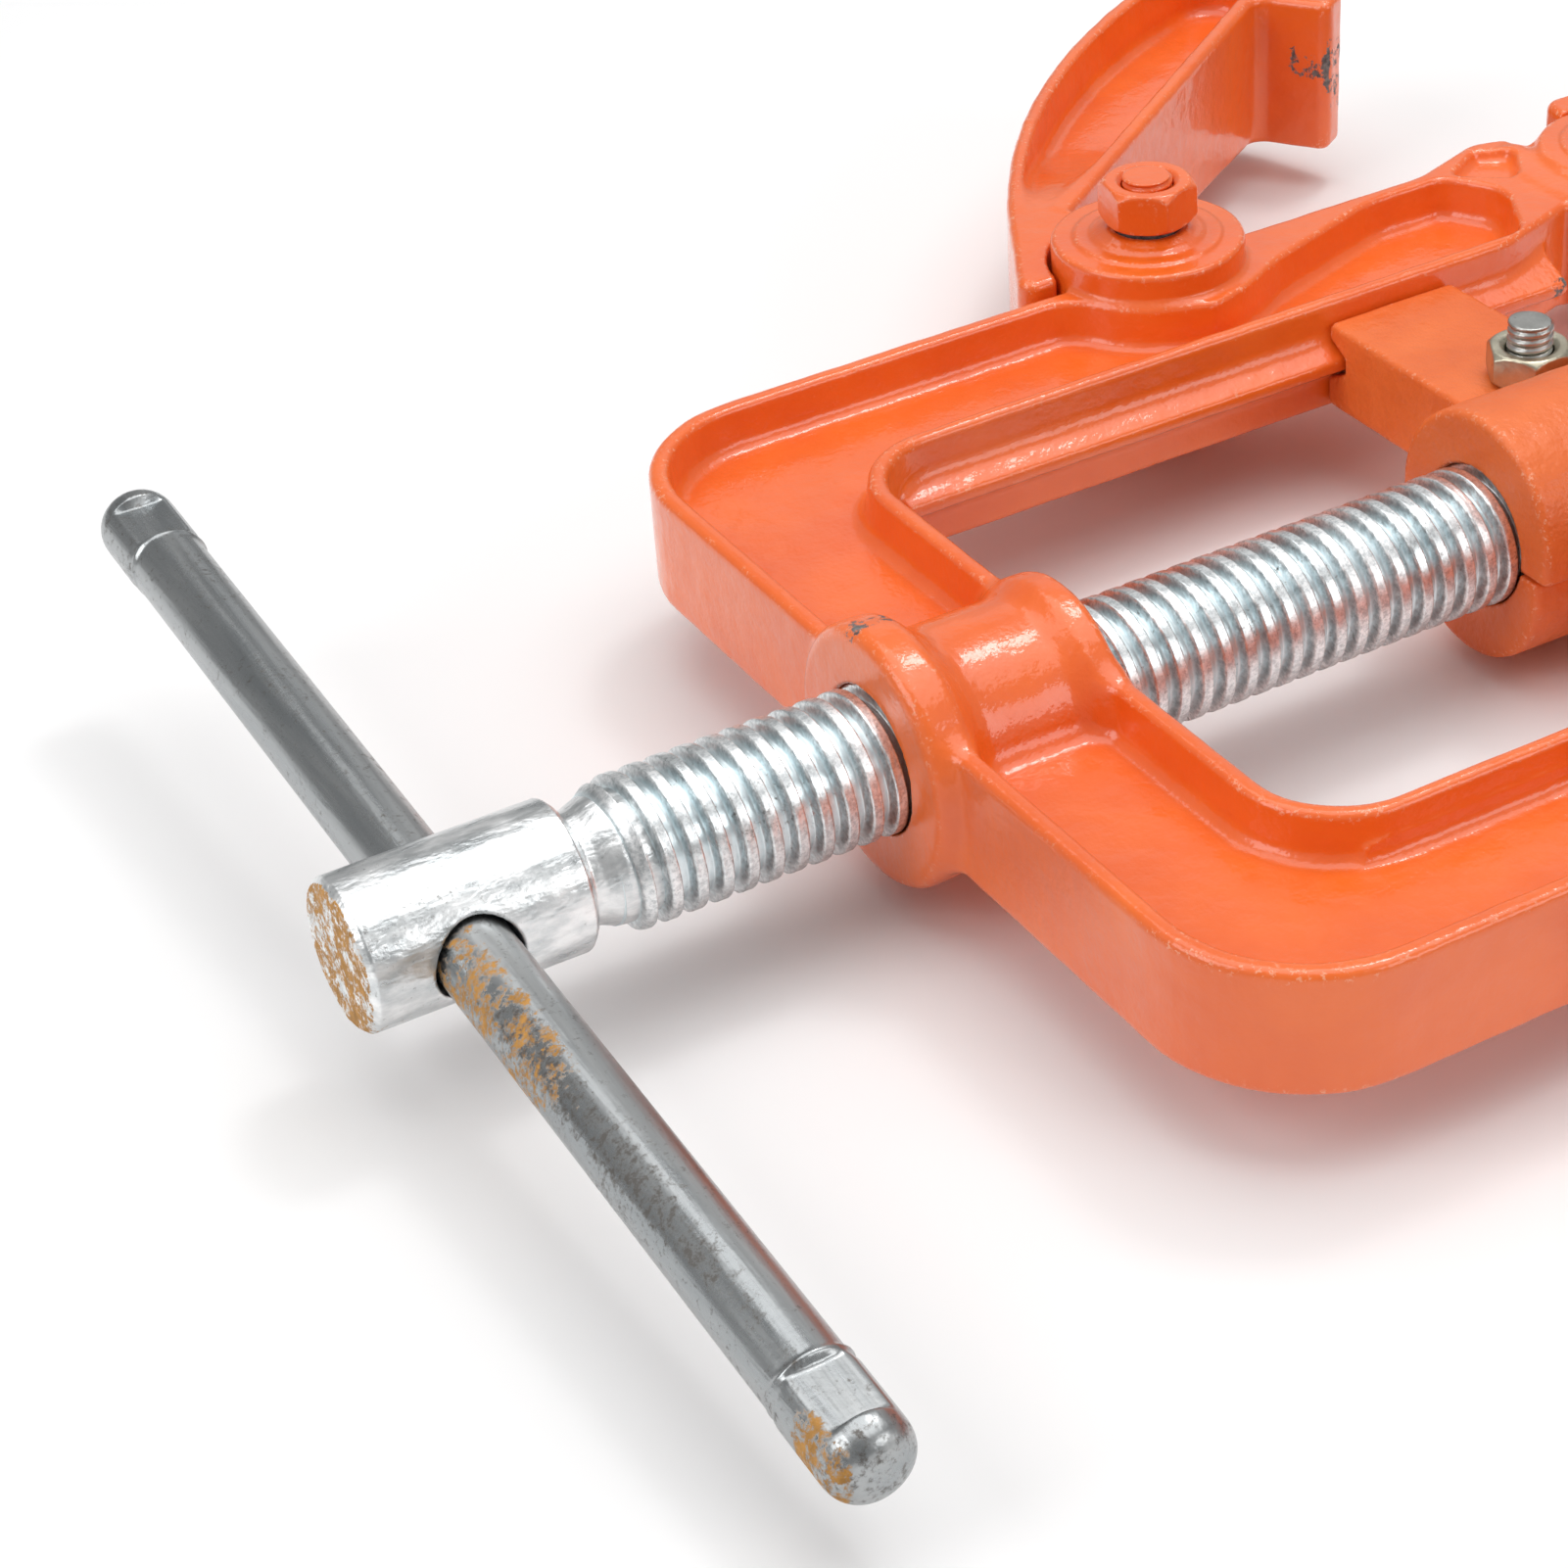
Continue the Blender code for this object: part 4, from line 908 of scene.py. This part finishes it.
def keep_values(item, name, rule):
    """Keep a value for the material at each point, by a rule of its place in millimetres."""
    spots = (vertex_array(item.data) - np.array(DATUM)) / MM
    store(item.data, name, rule(*spots.T))


def dress(item, body, material, nodes, wear=None):
    """Finish a piece: its material, the nodes it stands for and the body it rides on."""
    item.data.materials.clear()
    item.data.materials.append(material)
    if wear is not None:
        keep_values(item, "wear", wear)
    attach(item, body)
    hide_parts(*nodes)
    return item


def put(item, spot=(0, 0, 0), angle=0.0, flip=False):
    """Move a piece's mesh from its own place to a place on the object, mirrored for the right side."""
    move = Matrix.Translation(Vector(spot) * MM) @ Matrix.Rotation(angle, 4, "Z")
    if flip:
        move = move @ Matrix.Scale(-1, 4, (0, 1, 0))
    move = Matrix.Translation(DATUM) @ move
    item.data.transform(move)
    if flip:
        item.data.flip_normals()
    return item


def copied(item, name):
    return linked(name, item.data.copy())


# Grid steps in millimetres, and the share of the faces that stays
STEP = 0.7
HEAD_STEP = 0.4
FASTENER_STEP = 0.3
KEEP = 0.3

# How strongly each place is worn. The materials add noise, and show steel, rust or soot where it is high.
PAD_WEAR = 0.40
TIP_WEAR = 0.38
BOSS_WEAR = 0.41
TONGUE_WEAR = 0.40
BOLT_END_WEAR = 0.3
HEAD_RUST = 0.38
HEAD_EDGE_RUST = 0.32
BAR_RUST = 0.345
BAR_END_RUST = 0.37
BAR_SOOT = 0.13
BAR_SCUFF = 0.7


def hook_wear(pivot, angle):
    """Scuffs on the pad of a hook's toe and chips along its tip."""
    along, across = math.cos(angle), math.sin(angle)

    def wear(x, y, z):
        y = np.abs(y)
        s = (x - pivot[0]) * along + (y - pivot[1]) * across
        n = (y - pivot[1]) * along - (x - pivot[0]) * across
        pad = smooth(s, HOOK_LEG - 1.2, HOOK_LEG - 0.4) * smooth(s, HOOK_LEG + 2, HOOK_LEG + 1)
        pad = pad * smooth(np.abs(z - 3), 9, 2) * smooth(n, HOOK_OFFSET - 4, HOOK_OFFSET - 9)
        tip = smooth(s, HOOK_LEG - 0.5, HOOK_LEG + 2) * smooth(n, HOOK_TIP + 2.6, HOOK_TIP + 1)
        return PAD_WEAR * pad + TIP_WEAR * tip * smooth(np.abs(z), 15, 7)
    return wear


def frame_wear(x, y, z):
    """Chips on the boss's flange and at the ends of the tongues."""
    boss = smooth(np.hypot(y - 6, z - BOSS_FLANGE), 7, 1) * smooth(x, 8, 5)
    tongue = smooth(x, TONGUE_SPAN[1] - 9, TONGUE_SPAN[1] - 2)
    tongue = tongue * smooth(np.abs(y), WINDOW_HALF - 1, WINDOW_HALF - 4)
    return BOSS_WEAR * boss + TONGUE_WEAR * tongue


def bolt_shade_and_wear(x, y, z):
    """Painted shade: near-black bare steel round the shoulder in the gap under the nut; and chips on the
    bolt's end.
    """
    rise = z - NEAR_EAR_TOP
    # Painted shade for the gap under the nut, as dark bare steel.
    shoulder = smooth(rise, 0, 1) * smooth(rise, 5.4, 4.6)
    end = smooth(rise, 11.5, 13) * smooth(x, NEAR_PIVOT[0], NEAR_PIVOT[0] + 4)
    return shoulder + BOLT_END_WEAR * end


def build_castings():
    body = mesh_field("frame_casting", frame_field, (-6, 0, 0), (275, 138, 28), STEP, (1, 2), KEEP)
    dress(put(body), "frame", ENAMEL, ["frame"], frame_wear)
    hooks = (
        ("near", NEAR_PIVOT, NEAR_REST, NEAR_HEEL),
        ("far", FAR_PIVOT, FAR_REST, FAR_HEEL),
    )
    for label, (x, y), angle, heel in hooks:
        hook = mesh_field("hook_casting", hook_field(heel), (-30, -24, 0), (156, 62, 24), STEP, (2,), KEEP)
        for side, sign in SIDES:
            node = f"{label}_hook_{side}"
            piece = put(copied(hook, f"{node}_casting"), (x, sign * y, 0), sign * angle, sign < 0)
            dress(piece, node, ENAMEL, [node], hook_wear((x, y), angle))
        bpy.data.objects.remove(hook)
    upper = mesh_field("slider_upper", slider_body_field, (128, 0, -14), (199, 78, 28), STEP, (1,), KEEP)
    dress(put(upper), "slider", DRY_ENAMEL, ["slider_body"])
    lower = mesh_field("slider_lower", slider_cap_field, (128, 0, -29), (199, 46, 2), STEP, (1,), KEEP)
    dress(put(lower), "slider", DRY_ENAMEL, ["slider_cap"])


def head_wear(x, y, z):
    """Rust on the struck end of the screw's head, and a little past its edge."""
    end = smooth(-x, -HEAD_SPAN[0] - 0.9, -HEAD_SPAN[0] - 0.3)
    edge = smooth(-x, -HEAD_SPAN[0] - 9, -HEAD_SPAN[0] - 1) * smooth(-z, 2, 9)
    return HEAD_RUST * end + HEAD_EDGE_RUST * edge * (1 - end)


def bar_wear(x, y, z):
    """Rust beside the head where hands and the hole rub the bar, and on the lower side of its near end."""
    beside = smooth(-y, 8, 13) * smooth(-y, 82, 45) * smooth(BAR_X - x, -3.5, 1.5)
    tip = smooth(-y, 126, 133) * smooth(BAR_X - x, 2, 5.5)
    return BAR_RUST * beside + BAR_END_RUST * tip


def bar_soot(x, y, z):
    """A dark mottled band along the near side of the bar, and scuffs on its domed end."""
    band = smooth(-y, 14, 40) * smooth(np.abs(BAR_X - x - 4.5), 4, 1) * smooth(-z, 4, 1)
    return BAR_SOOT * np.maximum(band, BAR_SCUFF * smooth(-y, 138.5, 141))


def build_screw():
    head = mesh_field("screw_head", head_field, (-110, -16, -16), (-45, 16, 16), HEAD_STEP, (), KEEP)
    dress(put(head), "screw", HEAD_ZINC, ["lead_screw"], head_wear)
    thread = sweep("screw_thread", thread_rings()[::-1])
    spots = vertex_array(thread.data) / MM
    depth = (THREAD_RADIUS - np.hypot(spots[:, 1], spots[:, 2])) / THREAD_DEPTH
    store(thread.data, "valley", smooth(depth, 0.25, 0.85))
    dress(put(thread), "screw", THREAD_ZINC, ["lead_screw"])
    bar = dress(put(build_bar()), "bar", BAR_ZINC, ["tommy_bar"], bar_wear)
    keep_values(bar, "soot", bar_soot)


def fastener(name, field, reach, low, high):
    """Mesh a bolt or a nut on its own axis."""
    return mesh_field(name, field, (-reach[0], -reach[1], low), (*reach, high), FASTENER_STEP, (), KEEP)


def build_pivots():
    for label, (x, y), top in (("near", NEAR_PIVOT, NEAR_EAR_TOP), ("far", FAR_PIVOT, FAR_EAR_TOP)):
        seat = top + SEAT_RISE
        shoulder = 2 * seat + SHOULDER_RISE
        end = shoulder + SEAT_GAP + PIVOT_NUT_HEIGHT + 1
        shape = bolt_field(PIVOT_FLATS, PIVOT_HEAD, PIVOT_SHANK, shoulder, PIVOT_THREAD, end)
        bolt = fastener(f"{label}_bolt", shape, PIVOT_REACH, -8.5, end + 1)
        shape = nut_field(PIVOT_FLATS, PIVOT_NUT_HEIGHT, PIVOT_NUT_BORE)
        nut = fastener(f"{label}_nut", shape, PIVOT_REACH, -1, 10)
        for side, sign in SIDES:
            base = f"{label}_pivot_{side}"
            piece = put(copied(bolt, f"{base}_bolt_piece"), (x, sign * y, -seat - SEAT_GAP), PIVOT_TURN)
            dress(piece, "frame", ENAMEL, [f"{base}_bolt"], bolt_shade_and_wear)
            piece = put(copied(nut, f"{base}_nut_piece"), (x, sign * y, -seat + shoulder), PIVOT_TURN)
            dress(piece, "frame", ENAMEL, [f"{base}_nut"])
        bpy.data.objects.remove(bolt)
        bpy.data.objects.remove(nut)


def build_slider_bolts():
    end = WING_TOP - CAP_EAR_BOTTOM + 2 * SEAT_GAP + SLIDER_NUT_HEIGHT + STUD_RISE
    shape = bolt_field(SLIDER_BOLT_FLATS, SLIDER_BOLT_HEAD, SLIDER_BOLT_RADIUS, 0.0, SLIDER_BOLT_RADIUS, end)
    bolt = fastener("slider_bolt", shape, SLIDER_REACH, -7.4, end + 1)
    shape = nut_field(SLIDER_NUT_FLATS, SLIDER_NUT_HEIGHT, SLIDER_NUT_BORE)
    nut = fastener("slider_nut", shape, SLIDER_REACH, -1, 8.5)
    for side, sign in SIDES:
        base = f"slider_{side}"
        spot = (SLIDER_BOLT_SPOT[0], sign * SLIDER_BOLT_SPOT[1])
        piece = put(copied(bolt, f"{base}_bolt_piece"), (*spot, CAP_EAR_BOTTOM - SEAT_GAP))
        dress(piece, "slider", BOLT_ZINC, [f"{base}_bolt"])
        piece = put(copied(nut, f"{base}_nut_piece"), (*spot, WING_TOP + SEAT_GAP))
        dress(piece, "slider", YELLOW_ZINC, [f"{base}_nut"])
    bpy.data.objects.remove(bolt)
    bpy.data.objects.remove(nut)


def dress_washer():
    """The hidden washer keeps its own solid."""
    washer = frame["nodes"]["thrust_washer"]
    washer.data.materials.clear()
    washer.data.materials.append(BRONZE)


# Studio

PHOTO = 1601
FOCAL_PIXELS = 3702.6
CAMERA_SPOT = (-260.8, -470.1, 361.8)
CAMERA_AZIMUTH = math.radians(27.019)
CAMERA_ELEVATION = math.radians(34.319)
CAMERA_ROLL = math.radians(-4.388)
SENSOR = 36
FLOOR_HALF = 6.0
FLOOR_DROP = 0.0005
WORLD_LIGHT = 0.36
LIGHTS = (  # name, place and size in metres, power in watts
    ("top", (0.1, 0.1, 1.5), (2.0, 1.6), 15.5),
    ("spark", (0.48, 0.28, 1.28), (0.25, 0.25), 2.5),
    ("left", (-1.3, 0.1, 0.9), (0.8, 0.9), 7),
    ("right", (0.7, -1.3, 0.8), (1.0, 0.6), 5),
    ("back", (0.9, 1.2, 0.8), (1.0, 0.6), 0.7),
)


def build_camera():
    data = bpy.data.cameras.new("camera")
    data.sensor_width = SENSOR
    data.lens = SENSOR * FOCAL_PIXELS / PHOTO
    data.clip_end = 50
    camera = linked("camera", data)
    level = math.cos(CAMERA_ELEVATION)
    forward = Vector((math.sin(CAMERA_AZIMUTH) * level, math.cos(CAMERA_AZIMUTH) * level,
                      -math.sin(CAMERA_ELEVATION)))
    right = Vector((math.cos(CAMERA_AZIMUTH), -math.sin(CAMERA_AZIMUTH), 0))
    up = right.cross(forward)
    turn = Matrix((right, up, -forward)).transposed().to_4x4() @ Matrix.Rotation(CAMERA_ROLL, 4, "Z")
    camera.matrix_world = Matrix.Translation(DATUM + Vector(CAMERA_SPOT) * MM) @ turn
    bpy.context.scene.camera = camera


def area_light(name, spot, size, power):
    """A rectangular light that faces the origin."""
    data = bpy.data.lights.new(name, "AREA")
    data.shape = "RECTANGLE"
    data.size, data.size_y = size
    data.energy = power
    light = linked(name, data)
    light.location = spot
    light.rotation_euler = (-Vector(spot)).to_track_quat("-Z", "Y").to_euler()


def build_studio():
    corners = np.array([(-1, -1, 0), (1, -1, 0), (1, 1, 0), (-1, 1, 0)])
    floor = new_mesh("floor", corners * FLOOR_HALF, np.array([[0, 1, 2, 3]]))
    floor.location.z = -FLOOR_DROP
    nodes = Nodes("floor")
    tone = nodes.range(nodes.noise(3, 2), 0.3, 0.7)
    pale = nodes.mix(tone, (0.90, 0.90, 0.90), (0.93, 0.93, 0.93))
    nodes.link(pale, nodes.shader.inputs["Base Color"])
    nodes.shader.inputs["Roughness"].default_value = 0.8
    nodes.shader.inputs["Specular IOR Level"].default_value = 0.1
    floor.data.materials.append(nodes.material)
    world = bpy.data.worlds.new("studio")
    world.use_nodes = True
    background = world.node_tree.nodes["Background"]
    background.inputs["Color"].default_value = (1, 1, 1, 1)
    background.inputs["Strength"].default_value = WORLD_LIGHT
    bpy.context.scene.world = world
    for light in LIGHTS:
        area_light(*light)
    bpy.context.scene.view_settings.view_transform = "Standard"


build_castings()
build_screw()
build_pivots()
build_slider_bolts()
dress_washer()
build_studio()
build_camera()
